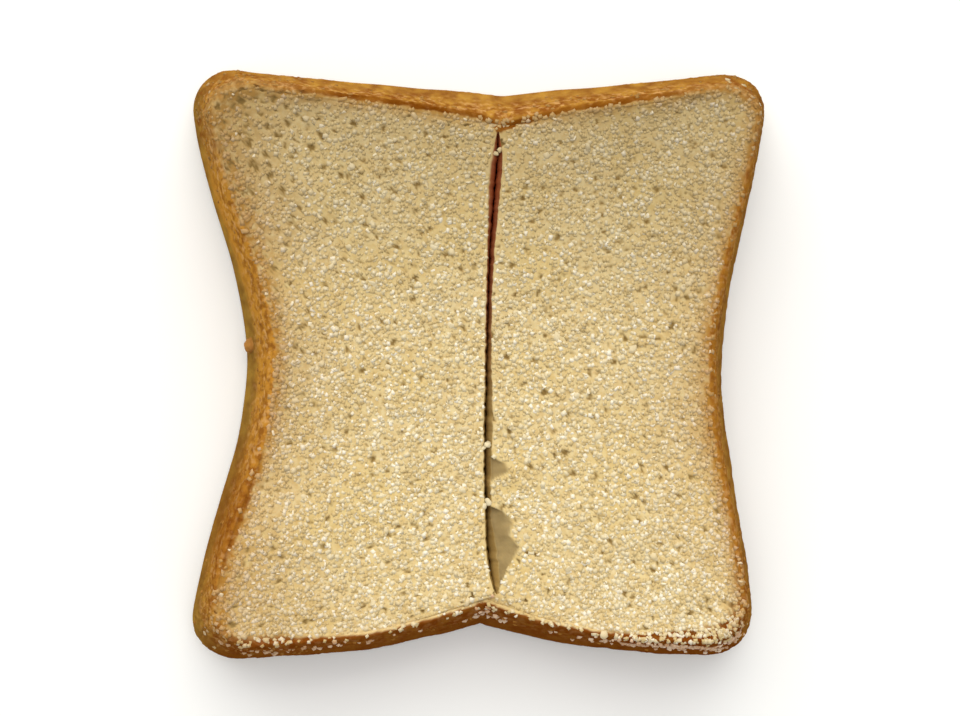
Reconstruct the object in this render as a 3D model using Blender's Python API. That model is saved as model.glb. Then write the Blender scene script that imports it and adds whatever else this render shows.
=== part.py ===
"""Sugar toast: a thick slice of square tin loaf, slit along its middle, buttered and sugared.

Baking has pinched the slice's four sides, lifted its corners and folded it slightly along the
slit, so that its crust walls lean outwards and its top face is a shallow dish. The largest
sugar crystals are fused onto that face.

Units are metres. +Z is up, +Y is the far end of the slit and +X its right side. The slice
stands on z = 0 with the origin under the middle of its bounding box.
"""

import math
import random

import bmesh
import bpy
from mathutils import Euler, Matrix, Vector, noise
from mathutils.bvhtree import BVHTree

# The loaf's plain section before baking pinched it
HALF_WIDTH = 0.0605
HALF_LENGTH = 0.0617
CORNER_RADIUS = 0.0100
NEAR_RIGHT_LOSS = 0.0029  # how much narrower the right side is at its near end

# How far the middle of each side is drawn in, at the foot of the wall
LEFT_WAIST = 0.0110
RIGHT_WAIST = 0.0070
FAR_WAIST = 0.0047
NEAR_WAIST = 0.0063
WAIST_REACH = 0.97  # share of a side's half length over which its waist runs out
FAR_FOLD_X = 0.0049  # where the fold crosses the far side, and below, the near side
NEAR_FOLD_X = 0.0000
NEAR_FOLD_POWER = 2.9  # 1 is a straight V, and more is a bay with a kink in its middle

# How much further the top face has shrunk than the foot: the lean of each wall
TOP_SHRINK = 0.0050
LEFT_LEAN = 0.0012
RIGHT_LEAN = 0.0002
FAR_LEAN = 0.0018
NEAR_LEAN = 0.0008
WALL_HOLLOW = 0.0006  # how far the wall is drawn in at half its height
EDGE_ROUND = 0.0007  # how far the cut edges at foot and rim are drawn in
EDGE_REACH = 0.08  # share of the wall's height over which they are

# Heights
LIP_HEIGHT = 0.0188  # at the middle of the slit
LIP_END_RISE = 0.0034
RIM_SIDE_HEIGHT = 0.0232
RIM_CORNER_HEIGHT = 0.0288
RIM_FOLD_DROP = 0.0016  # the rim's dip where the fold crosses it
RIM_FOLD_POWER = 4  # 1 is a wide dip, and more is a narrow one
RIM_FOLD_REACH = (0.5, 0.8)  # shares of the half length between which the dip sets in
RIM_SIDE_REACH = 0.046  # from the slice's middle to the nearest rim, and to a corner
RIM_CORNER_REACH = 0.080
DISH_POWER = 1.55  # 1 is a flat slope from rim to slit, and more is a bowl
FLAT_RADIUS = 0.026  # the flat spot that the slice rests on
CORNER_LIFT = 0.0062

# Crust and crumb
CRUST_THICKNESS = 0.0017
CRUST_STANDS_PROUD = 0.0006
CREST_AT = 0.45  # share of the crust's thickness at which its crest lies
CREST_RISE = 0.5  # the crest's height over the rim, as a share of how far the crust stands proud
CRUMB_LUMP = 0.00030
CRUMB_LUMP_SIZE = 0.0075
CRUMB_EDGE_REACH = 0.08  # share of the way in from the crust over which the lumps set in
CRUST_WRINKLE = 0.00035
CRUST_WRINKLE_SIZE = 0.011
CRUST_WRINKLE_SEED = 3.0

# The slit, which stops short of the crust at both ends
SLIT_HALF_LENGTH = 0.0465
SLIT_MIDDLE_X = 0.0008
SLIT_END_SHIFT = 0.0016  # how far it bends to the right at both ends
SLIT_DEPTH = 0.0145
SLIT_END_DEPTH = 0.35  # share of the depth that is left at both ends
SLIT_DEPTH_POWER = 0.5
SLIT_TAPER = 2.2  # 1 is an ellipse's taper, and more is a blunter end
SLIT_HALF_GAP = 0.00055
SLIT_WIDE_HALF_GAP = 0.00075  # added where the slit gapes, near its far end
SLIT_WIDE_Y = 0.037
SLIT_WIDE_REACH = 0.010
SLIT_CLOSING = 0.45  # share of the gap that is left at the slit's floor
SLIT_FLOOR_INSET = 0.94

# Places where the slit's right lip is torn away: the depth at the slit, and the tear's outline,
# as y and distance from the slit, from far to near
TORN_LIPS = (
    (0.0012, ((-0.0187, 0.0), (-0.0202, 0.0033), (-0.0220, 0.0044), (-0.0232, 0.0016), (-0.0242, 0.0))),
    (
        0.0020,
        (
            (-0.0287, 0.0),
            (-0.0299, 0.0027),
            (-0.0322, 0.0045),
            (-0.0348, 0.0036),
            (-0.0371, 0.0055),
            (-0.0405, 0.0032),
            (-0.0435, 0.0010),
            (-0.0458, 0.0),
        ),
    ),
)

# A crumb stuck to the left wall: its y and z, and its size
STUCK_CRUMB_AT = (0.0040, 0.0062)
STUCK_CRUMB_SIZE = 0.0030

# Sugar
CRYSTAL_PITCH = 0.0074
CRYSTAL_JITTER = 0.34
CRYSTAL_SIZE = (0.00125, 0.00185)
CRYSTAL_SHAPE = (1.0, 0.82, 0.68)  # length, width and height of a crystal, as shares of its size
CRYSTAL_UNEVEN = 0.12
CRYSTAL_SUNK = 0.14  # how far a crystal's middle lies under the surface, as a share of its size
SLIT_CLEARANCE = 0.0026
STEEPEST_NORMAL_Z = 0.75  # crystals lie where the face's normal points up by at least this share
SEED = 20
HEX_ROW = 0.866  # spacing of the rows of a triangular grid, as a share of its pitch

# The mesh: points round each loop, and the loops' places
POINTS_ROUND = 96
ARC_SHARE = 0.26  # share of the points that lie on the four corners
FLOOR_LOOPS = (0.42, 0.66, 0.86)
WALL_LOOPS = (0.0, 0.06, 0.22, 0.40, 0.58, 0.76, 0.92, 1.0)
FACE_LOOPS = (0.10, 0.20, 0.32, 0.45, 0.58, 0.71, 0.83, 0.92, 0.97, 1.0)
SLIT_LOOPS = (0.12, 0.45, 1.0)
SHARP_ANGLE = math.radians(35)
OUTSIDE = 0.1  # a distance at which a ray starts clear of the slice

BREAD_COLOUR = (0.60, 0.42, 0.21, 1.0)
BREAD_ROUGHNESS = 0.72


def clear_scene():
    """Removes what the file held before."""
    for thing in list(bpy.data.objects):
        bpy.data.objects.remove(thing, do_unlink=True)


def clipped(value):
    """The value, held between 0 and 1."""
    return min(1.0, max(0.0, value))


def smooth_step(low, high, value):
    """0 below low, 1 above high, with a smooth rise between them."""
    share = clipped((value - low) / (high - low))
    return share * share * (3.0 - 2.0 * share)


def lump(point, size, seed=0.0):
    """Smooth noise between about -1 and 1 whose lumps are as wide as size."""
    return noise.noise(Vector(point) / size + Vector((seed, seed, seed)))


def plain_section(share):
    """The loaf's plain section at a share of its way round, clockwise from the far side's middle."""
    flat_share = (1.0 - ARC_SHARE) / 2
    quarters = 4 * share
    right = quarters < 2
    if not right:
        quarters = 4 - quarters
    far = quarters < 1
    if not far:
        quarters = 2 - quarters
    angle = math.pi / 2 * clipped((quarters - flat_share) / ARC_SHARE)
    x = (HALF_WIDTH - CORNER_RADIUS) * clipped(quarters / flat_share)
    y = (HALF_LENGTH - CORNER_RADIUS) * clipped((1.0 - quarters) / flat_share)
    x, y = x + CORNER_RADIUS * math.sin(angle), y + CORNER_RADIUS * math.cos(angle)
    return x if right else -x, y if far else -y


def waist(share):
    """How much of a side's waist is felt at a share of its half length: 1 in the middle."""
    return math.cos(math.pi / 2 * clipped(abs(share) / WAIST_REACH)) ** 2


def fold(x, fold_x):
    """1 where the fold crosses a side at fold_x, falling in a straight line to 0 at the corners."""
    reach = HALF_WIDTH - fold_x if x > fold_x else HALF_WIDTH + fold_x
    return max(0.0, 1.0 - abs(x - fold_x) / reach)


def pinched(x, y, level):
    """Where a point of the plain section lies in the pinched slice, at a level from foot 0 to rim 1."""
    across, along = x / HALF_WIDTH, y / HALF_LENGTH
    if x < 0:
        side = waist(along) * (LEFT_WAIST + LEFT_LEAN * level)
    else:
        side = waist(along) * (RIGHT_WAIST + RIGHT_LEAN * level) + NEAR_RIGHT_LOSS * (1.0 - along) / 2
    if y > 0:
        end = fold(x, FAR_FOLD_X) * (FAR_WAIST + FAR_LEAN * level)
    else:
        end = fold(x, NEAR_FOLD_X) ** NEAR_FOLD_POWER * (NEAR_WAIST + NEAR_LEAN * level)
    shrink = TOP_SHRINK * level
    return x - across * (side + shrink), y - along * (end + shrink)


def drawn_in(x, y, inset):
    """The point moved by inset towards the slice's middle."""
    reach = math.hypot(x, y)
    return x * (1.0 - inset / reach), y * (1.0 - inset / reach)


def underside(x, y):
    """Height of the slice's underside: flat in the middle and lifted towards the corners."""
    beyond = max(0.0, math.hypot(x, y) - FLAT_RADIUS) / (RIM_CORNER_REACH - FLAT_RADIUS)
    return CORNER_LIFT * beyond * beyond


def rim_height(x, y):
    """Height of the crust's top edge: highest at the corners, with a dip at both ends of the fold."""
    corner = smooth_step(RIM_SIDE_REACH, RIM_CORNER_REACH, math.hypot(x, y))
    height = RIM_SIDE_HEIGHT + (RIM_CORNER_HEIGHT - RIM_SIDE_HEIGHT) * corner
    fold_x = FAR_FOLD_X if y > 0 else NEAR_FOLD_X
    at_end = smooth_step(*RIM_FOLD_REACH, abs(y) / HALF_LENGTH)
    return height - RIM_FOLD_DROP * at_end * fold(x, fold_x) ** RIM_FOLD_POWER


def slit_centre(y):
    """The x of the slit's centreline."""
    return SLIT_MIDDLE_X + SLIT_END_SHIFT * (y / SLIT_HALF_LENGTH) ** 2


def slit_line(share):
    """The slit's lip at a share of the way round it, clockwise from its far end."""
    y = SLIT_HALF_LENGTH * math.cos(2 * math.pi * share)
    side = math.sin(2 * math.pi * share)
    gape = math.exp(-(((y - SLIT_WIDE_Y) / SLIT_WIDE_REACH) ** 2))
    half_gap = SLIT_HALF_GAP + SLIT_WIDE_HALF_GAP * gape
    return slit_centre(y) + half_gap * max(-1.0, min(1.0, side * SLIT_TAPER)), y


def lip_height(y):
    """Height of the top face beside the slit."""
    return LIP_HEIGHT + LIP_END_RISE * (y / SLIT_HALF_LENGTH) ** 2


def torn(x, y):
    """How far the torn lip lies under the face at a point."""
    beside = x - slit_centre(y)
    if beside <= 0:
        return 0.0
    depth = 0.0
    for deep, outline in TORN_LIPS:
        for (far_y, far_width), (near_y, near_width) in zip(outline, outline[1:]):
            if near_y < y <= far_y:
                width = far_width + (near_width - far_width) * (far_y - y) / (far_y - near_y)
                depth = deep * max(0.0, 1.0 - beside / width)
    return depth


def wall_point(share, level):
    """A point of the crust wall."""
    plain = plain_section(share)
    foot = underside(*pinched(*plain, 0.0))
    rim = rim_height(*pinched(*plain, 1.0))
    z = foot + (rim - foot) * level
    x, y = pinched(*plain, level)
    inset = EDGE_ROUND * max(0.0, 1.0 - min(level, 1.0 - level) / EDGE_REACH)
    inset += WALL_HOLLOW * math.sin(math.pi * level)
    inset += CRUST_WRINKLE * lump((x, y, z), CRUST_WRINKLE_SIZE, CRUST_WRINKLE_SEED)
    return Vector((*drawn_in(x, y, inset), z))


def floor_point(share, reach):
    """A point of the underside, reach being its share of the way out from the middle."""
    edge = wall_point(share, 0.0)
    x, y = edge.x * reach, edge.y * reach
    return Vector((x, y, underside(x, y)))


def face_point(share, inwards):
    """A point of the top face, from the crust's inner edge at 0 to the slit's lip at 1."""
    rim = wall_point(share, 1.0)
    start = Vector((*drawn_in(rim.x, rim.y, CRUST_THICKNESS), 0.0))
    lip = Vector((*slit_line(share), 0.0))
    place = start.lerp(lip, inwards)
    low, high = lip_height(lip.y), rim_height(rim.x, rim.y) - CRUST_STANDS_PROUD
    fade = smooth_step(0.0, CRUMB_EDGE_REACH, inwards)
    place.z = low + (high - low) * (1.0 - inwards) ** DISH_POWER
    place.z += CRUMB_LUMP * fade * lump((place.x, place.y, 0.0), CRUMB_LUMP_SIZE)
    place.z -= torn(place.x, place.y)
    return place


def crest_point(share):
    """A point of the crust's rounded crest, between the wall and the crumb."""
    rim = wall_point(share, 1.0)
    x, y = drawn_in(rim.x, rim.y, CRUST_THICKNESS * CREST_AT)
    return Vector((x, y, rim.z + CRUST_STANDS_PROUD * CREST_RISE))


def slit_point(share, down):
    """A point of the slit's walls, from the lip at 0 to the floor at 1."""
    lip = face_point(share, 1.0)
    centre = slit_centre(lip.y)
    x = centre + (lip.x - centre) * (1.0 - (1.0 - SLIT_CLOSING) * down)
    y = lip.y * (1.0 - (1.0 - SLIT_FLOOR_INSET) * down)
    middle = abs(math.sin(2 * math.pi * share)) ** SLIT_DEPTH_POWER
    floor_z = lip_height(lip.y) - SLIT_DEPTH * (SLIT_END_DEPTH + (1.0 - SLIT_END_DEPTH) * middle)
    return Vector((x, y, lip.z + (floor_z - lip.z) * down))


def bread_loops():
    """The slice's surface as closed loops, from its underside round to the floor of the slit."""
    shares = [i / POINTS_ROUND for i in range(POINTS_ROUND)]
    loops = [[floor_point(s, reach) for s in shares] for reach in FLOOR_LOOPS]
    loops += [[wall_point(s, level) for s in shares] for level in WALL_LOOPS]
    loops.append([crest_point(s) for s in shares])
    loops += [[face_point(s, inwards) for s in shares] for inwards in (0.0, *FACE_LOOPS)]
    loops += [[slit_point(s, down) for s in shares] for down in SLIT_LOOPS]
    return loops


def loft(loops):
    """A closed mesh through the loops: the first is filled, and the last is sewn shut along its length."""
    shape = bmesh.new()
    rows = [[shape.verts.new(point) for point in loop] for loop in loops]
    count = len(loops[0])
    shape.faces.new(rows[0])
    for low, high in zip(rows, rows[1:]):
        for i in range(count):
            j = (i + 1) % count
            shape.faces.new((low[j], low[i], high[i], high[j]))
    last = rows[-1]
    for i in range(count // 2):
        ring = [last[i], last[i + 1], last[count - i - 1], last[(count - i) % count]]
        shape.faces.new(list(dict.fromkeys(reversed(ring))))
    bmesh.ops.recalc_face_normals(shape, faces=shape.faces)
    return shape


def stand_on_origin(shape):
    """Moves the mesh so that the origin is under the middle of its bounding box, and returns the move."""
    low = [min(v.co[axis] for v in shape.verts) for axis in range(3)]
    high = [max(v.co[axis] for v in shape.verts) for axis in range(3)]
    shift = Vector((-(low[0] + high[0]) / 2, -(low[1] + high[1]) / 2, -low[2]))
    bmesh.ops.translate(shape, verts=shape.verts, vec=shift)
    return shift


def new_object(name, shape, material):
    """An object of the scene from a bmesh."""
    mesh = bpy.data.meshes.new(name)
    shape.to_mesh(mesh)
    shape.free()
    mesh.materials.append(material)
    thing = bpy.data.objects.new(name, mesh)
    bpy.context.scene.collection.objects.link(thing)
    return thing


def bread_material():
    """Baked crust and crumb, matt, with a little butter on it."""
    material = bpy.data.materials.new("toasted_bread")
    material.use_nodes = True
    shader = material.node_tree.nodes["Principled BSDF"]
    shader.inputs["Base Color"].default_value = BREAD_COLOUR
    shader.inputs["Roughness"].default_value = BREAD_ROUGHNESS
    shader.inputs["Metallic"].default_value = 0.0
    material.diffuse_color = BREAD_COLOUR
    return material


def crystal_places(surface, shift):
    """Evenly spread places for crystals on the top face, each with the face's normal there."""
    draw = random.Random(SEED)
    rows = int(2 * HALF_LENGTH / (CRYSTAL_PITCH * HEX_ROW)) + 1
    columns = int(2 * HALF_WIDTH / CRYSTAL_PITCH) + 1
    for row in range(rows):
        for column in range(columns):
            spare_x, spare_y = (draw.uniform(-CRYSTAL_JITTER, CRYSTAL_JITTER) for _ in range(2))
            x = (column + 0.5 * (row % 2) + spare_x) * CRYSTAL_PITCH - HALF_WIDTH
            y = (row + 0.5 + spare_y) * CRYSTAL_PITCH * HEX_ROW - HALF_LENGTH
            if abs(x - slit_centre(y) - shift.x) < SLIT_CLEARANCE:
                continue
            place, normal, _, _ = surface.ray_cast(Vector((x, y, OUTSIDE)), Vector((0, 0, -1)))
            if place is not None and normal.z > STEEPEST_NORMAL_Z:
                yield place, normal


def crystal(number, place, normal, draw, material):
    """One sugar crystal: a box with uneven sides, turned at random and partly sunk in the face."""
    size = draw.uniform(*CRYSTAL_SIZE)
    shape = bmesh.new()
    bmesh.ops.create_cube(shape, size=1.0)
    sides = [size * share * draw.uniform(1 - CRYSTAL_UNEVEN, 1 + CRYSTAL_UNEVEN) for share in CRYSTAL_SHAPE]
    turn = Euler([draw.uniform(0, math.pi) for _ in range(3)]).to_matrix().to_4x4()
    centre = place - normal * size * CRYSTAL_SUNK
    placed = Matrix.Translation(centre) @ turn @ Matrix.Diagonal((*sides, 1.0))
    bmesh.ops.transform(shape, matrix=placed, verts=shape.verts)
    return new_object(f"crystal_{number:03d}", shape, material)


def stuck_crumb(surface, material):
    """The crumb on the left wall, half sunk in the crust."""
    place, _, _, _ = surface.ray_cast(Vector((-OUTSIDE, *STUCK_CRUMB_AT)), Vector((1, 0, 0)))
    shape = bmesh.new()
    bmesh.ops.create_icosphere(shape, subdivisions=1, radius=STUCK_CRUMB_SIZE / 2)
    bmesh.ops.translate(shape, verts=shape.verts, vec=place)
    return new_object("stuck_crumb", shape, material)


def fuse(body, parts):
    """Joins the parts to the body with one Boolean union, and removes them."""
    group = bpy.data.collections.new("toppings")
    bpy.context.scene.collection.children.link(group)
    for thing in parts:
        bpy.context.scene.collection.objects.unlink(thing)
        group.objects.link(thing)
    union = body.modifiers.new("fused", "BOOLEAN")
    union.operation = "UNION"
    union.operand_type = "COLLECTION"
    union.collection = group
    union.solver = "EXACT"
    bpy.context.view_layer.objects.active = body
    body.select_set(True)
    bpy.ops.object.modifier_apply(modifier=union.name)
    for thing in parts:
        bpy.data.objects.remove(thing, do_unlink=True)
    bpy.data.collections.remove(group)


def build():
    """Builds the sugared slice."""
    clear_scene()
    material = bread_material()
    shape = loft(bread_loops())
    shift = stand_on_origin(shape)
    surface = BVHTree.FromBMesh(shape)
    draw = random.Random(SEED + 1)
    places = list(crystal_places(surface, shift))
    toast = new_object("sugar_toast", shape, material)
    toppings = [crystal(i, *place, draw, material) for i, place in enumerate(places)]
    toppings.append(stuck_crumb(surface, material))
    fuse(toast, toppings)
    toast.data.shade_smooth()
    toast.data.set_sharp_from_angle(angle=SHARP_ANGLE)


build()
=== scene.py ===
"""Sugar toast: the looks of a thick slice of square white loaf, slit, buttered, sugared and baked.

The slice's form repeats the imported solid's sizes at a finer grain and stands where that solid
stands. On it lie the sugar, one piece for each kind of grain, and a crumb stuck to the crust.
Lengths are metres, +Z is up and +Y is the far end of the slit.
"""

import logging
import math
import random
from collections.abc import Iterable
from dataclasses import dataclass, field
from enum import Enum
from functools import cached_property
from typing import Any, ClassVar

import bmesh
import bpy
import numpy as np
from mathutils import Matrix, Vector, noise
from mathutils.bvhtree import BVHTree
from mathutils.kdtree import KDTree


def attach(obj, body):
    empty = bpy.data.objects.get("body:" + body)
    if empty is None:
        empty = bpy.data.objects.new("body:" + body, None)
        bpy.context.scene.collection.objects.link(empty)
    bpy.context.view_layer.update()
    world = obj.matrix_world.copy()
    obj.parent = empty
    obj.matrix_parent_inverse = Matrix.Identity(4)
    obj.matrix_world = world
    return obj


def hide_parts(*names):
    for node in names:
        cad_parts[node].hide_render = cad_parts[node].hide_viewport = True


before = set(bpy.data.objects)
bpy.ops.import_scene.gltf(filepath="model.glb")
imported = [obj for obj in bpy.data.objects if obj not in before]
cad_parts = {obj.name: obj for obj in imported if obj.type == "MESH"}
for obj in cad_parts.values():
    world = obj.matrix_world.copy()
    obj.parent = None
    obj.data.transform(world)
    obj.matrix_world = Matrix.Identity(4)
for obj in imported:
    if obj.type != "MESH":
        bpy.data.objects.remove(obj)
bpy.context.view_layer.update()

Tree = bpy.types.NodeTree
Socket = bpy.types.NodeSocket
Values = dict[str | int, Any]  # what a node's own properties and sockets are set to

LOG = logging.getLogger("sugar_toast")
NODE = "sugar_toast"
BODY = "root"

MM = 0.001
HEX_ROW = 0.866  # spacing of the rows of a triangular grid, as a share of its pitch
SENSOR_WIDTH_MM = 36.0
OUTSIDE = 0.1  # a distance at which a ray starts clear of the slice
TINY = 1e-9  # stands in for a width of nothing where something is divided by it

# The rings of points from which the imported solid's middle is worked out
CAD_POINTS_ROUND = 96
CAD_WALL_LEVELS = (0.0, 0.06, 0.22, 0.40, 0.58, 0.76, 0.92, 1.0)

# The Mix node's sockets for colours, which share their names with its other sockets
MIX_FACTOR, MIX_FIRST, MIX_SECOND, MIX_RESULT = 0, 6, 7, 2


class Stretch(Enum):
    """The stretches of the slice's surface, from its underside round to the slit's floor."""

    UNDERSIDE = 0
    WALL = 1
    CREST = 2
    FACE = 3
    SLIT = 4


class Side(Enum):
    """The slice's four sides, as the direction in which each one lies."""

    FAR = (0, 1)
    NEAR = (0, -1)
    LEFT = (-1, 0)
    RIGHT = (1, 0)


def linear(hex_colour: str) -> tuple[float, float, float, float]:
    """Turns an sRGB hex colour into the linear values that a shader takes.

    Args:
        hex_colour: The colour, as #RRGGBB.

    Returns:
        Red, green, blue and alpha.
    """
    shares = [int(hex_colour[i : i + 2], 16) / 255 for i in (1, 3, 5)]
    curve = [s / 12.92 if s <= 0.04045 else ((s + 0.055) / 1.055) ** 2.4 for s in shares]
    return (curve[0], curve[1], curve[2], 1.0)


def add_node(
    tree: Tree,
    kind: str,
    settings: Values | None = None,
    links: dict[str | int, Socket] | None = None,
    output: str | int = 0,
) -> Socket | None:
    """Adds a node with its settings and links.

    Args:
        tree: The node tree that it goes into.
        kind: Blender's name for the kind of node.
        settings: The node's own properties and its sockets' values, by name or by socket number.
        links: What feeds its sockets, by name or by socket number.
        output: The output that the caller goes on with.

    Returns:
        That output's socket, or nothing from a node that has no output.
    """
    node = tree.nodes.new(kind)
    for key, value in (settings or {}).items():
        if isinstance(key, str) and key not in node.inputs:
            setattr(node, key, value)
        else:
            node.inputs[key].default_value = value
    for key, socket in (links or {}).items():
        tree.links.new(socket, node.inputs[key])
    return node.outputs[output] if node.outputs else None


def smooth_step(low: float, high: float, value: np.ndarray) -> np.ndarray:
    """Gives 0 below low and 1 above high, with a smooth rise between them.

    Args:
        low: Where the rise starts.
        high: Where it ends.
        value: The values to weigh.

    Returns:
        A share for each value.
    """
    share = np.clip((value - low) / (high - low), 0.0, 1.0)
    return share * share * (3.0 - 2.0 * share)


def lumps(points: np.ndarray, size: float, seed: float = 0.0) -> np.ndarray:
    """Gives smooth noise between about -1 and 1.

    Args:
        points: The places, one a row.
        size: How wide a lump is.
        seed: Where in the noise to read.

    Returns:
        The noise at each place.
    """
    read = points.reshape(-1, 3) / size + seed
    found = np.fromiter((noise.noise(Vector(p)) for p in read), float, len(read))
    return found.reshape(points.shape[:-1])


def joined(x: np.ndarray, y: np.ndarray, z: np.ndarray | float) -> np.ndarray:
    """Puts coordinates together as points, one a row."""
    return np.stack(np.broadcast_arrays(x, y, z), axis=-1)


def mixed(tree: Tree, first: Socket | str, second: Socket | str, share: Socket) -> Socket:
    """Adds a mix of two colours.

    Args:
        tree: The node tree that it goes into.
        first: The colour where the share is 0, as a socket or as #RRGGBB.
        second: The colour where it is 1.
        share: The second colour's share.

    Returns:
        The mixed colour's socket.
    """
    settings: Values = {"data_type": "RGBA", "clamp_factor": True}
    links = {MIX_FACTOR: share}
    for socket, colour in ((MIX_FIRST, first), (MIX_SECOND, second)):
        if isinstance(colour, str):
            settings[socket] = linear(colour)
        else:
            links[socket] = colour
    return add_node(tree, "ShaderNodeMix", settings, links, MIX_RESULT)


def multiplied(tree: Tree, share: Socket, by: Socket | float) -> Socket:
    """Adds a product of two shares.

    Args:
        tree: The node tree that it goes into.
        share: The first share.
        by: The second one, as a socket or as a number.

    Returns:
        The product's socket.
    """
    settings: Values = {"operation": "MULTIPLY"}
    links = {0: share}
    if isinstance(by, float):
        settings[1] = by
    else:
        links[1] = by
    return add_node(tree, "ShaderNodeMath", settings, links)


def plain_material(name: str, settings: dict[str, Any]) -> bpy.types.Material:
    """Makes a material that is the same all over.

    Args:
        name: Its name.
        settings: Its shader's values, by their names.

    Returns:
        The material.
    """
    material = bpy.data.materials.new(name)
    material.use_nodes = True
    for key, value in settings.items():
        material.node_tree.nodes["Principled BSDF"].inputs[key].default_value = value
    return material


def placed(name: str, data: bpy.types.ID) -> bpy.types.Object:
    """Puts a mesh, a lamp or a camera into the scene.

    Args:
        name: The object's name.
        data: What it holds.

    Returns:
        The object.
    """
    piece = bpy.data.objects.new(name, data)
    bpy.context.scene.collection.objects.link(piece)
    return piece


def flat_tree(spots: np.ndarray) -> KDTree:
    """Sorts places for searching by their distance seen from above.

    Args:
        spots: The places, one a row. Only their x and y count.

    Returns:
        The sorted places.
    """
    tree = KDTree(len(spots))
    for i, spot in enumerate(spots):
        tree.insert((spot[0], spot[1], 0.0), i)
    tree.balance()
    return tree


@dataclass(frozen=True)
class Lumps:
    """Random lumps of one size, up to their height above and below the middle."""

    height: float
    size: float
    seed: float
    upright: float = 1.0  # below 1 they are drawn out upwards, and at 0 they run on without end

    def at(self, places: np.ndarray, extra: np.ndarray | float = 0.0) -> np.ndarray:
        """Gives how far they stand out at each place, extra being how much higher they are there."""
        return (self.height + extra) * lumps(places * (1.0, 1.0, self.upright), self.size, self.seed)


@dataclass(frozen=True)
class Tear:
    """A place where the slit's right lip is torn away, down to smooth bare crumb.

    Its outline is the y of each point and its distance from the slit, from far to near.
    """

    depth: float
    outline: tuple[tuple[float, float], ...]

    def width(self, y: np.ndarray) -> np.ndarray:
        """Gives how wide the tear is at each y."""
        far_to_near = np.array(self.outline)[::-1]
        return np.interp(y, far_to_near[:, 0], far_to_near[:, 1], left=0.0, right=0.0)


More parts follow.
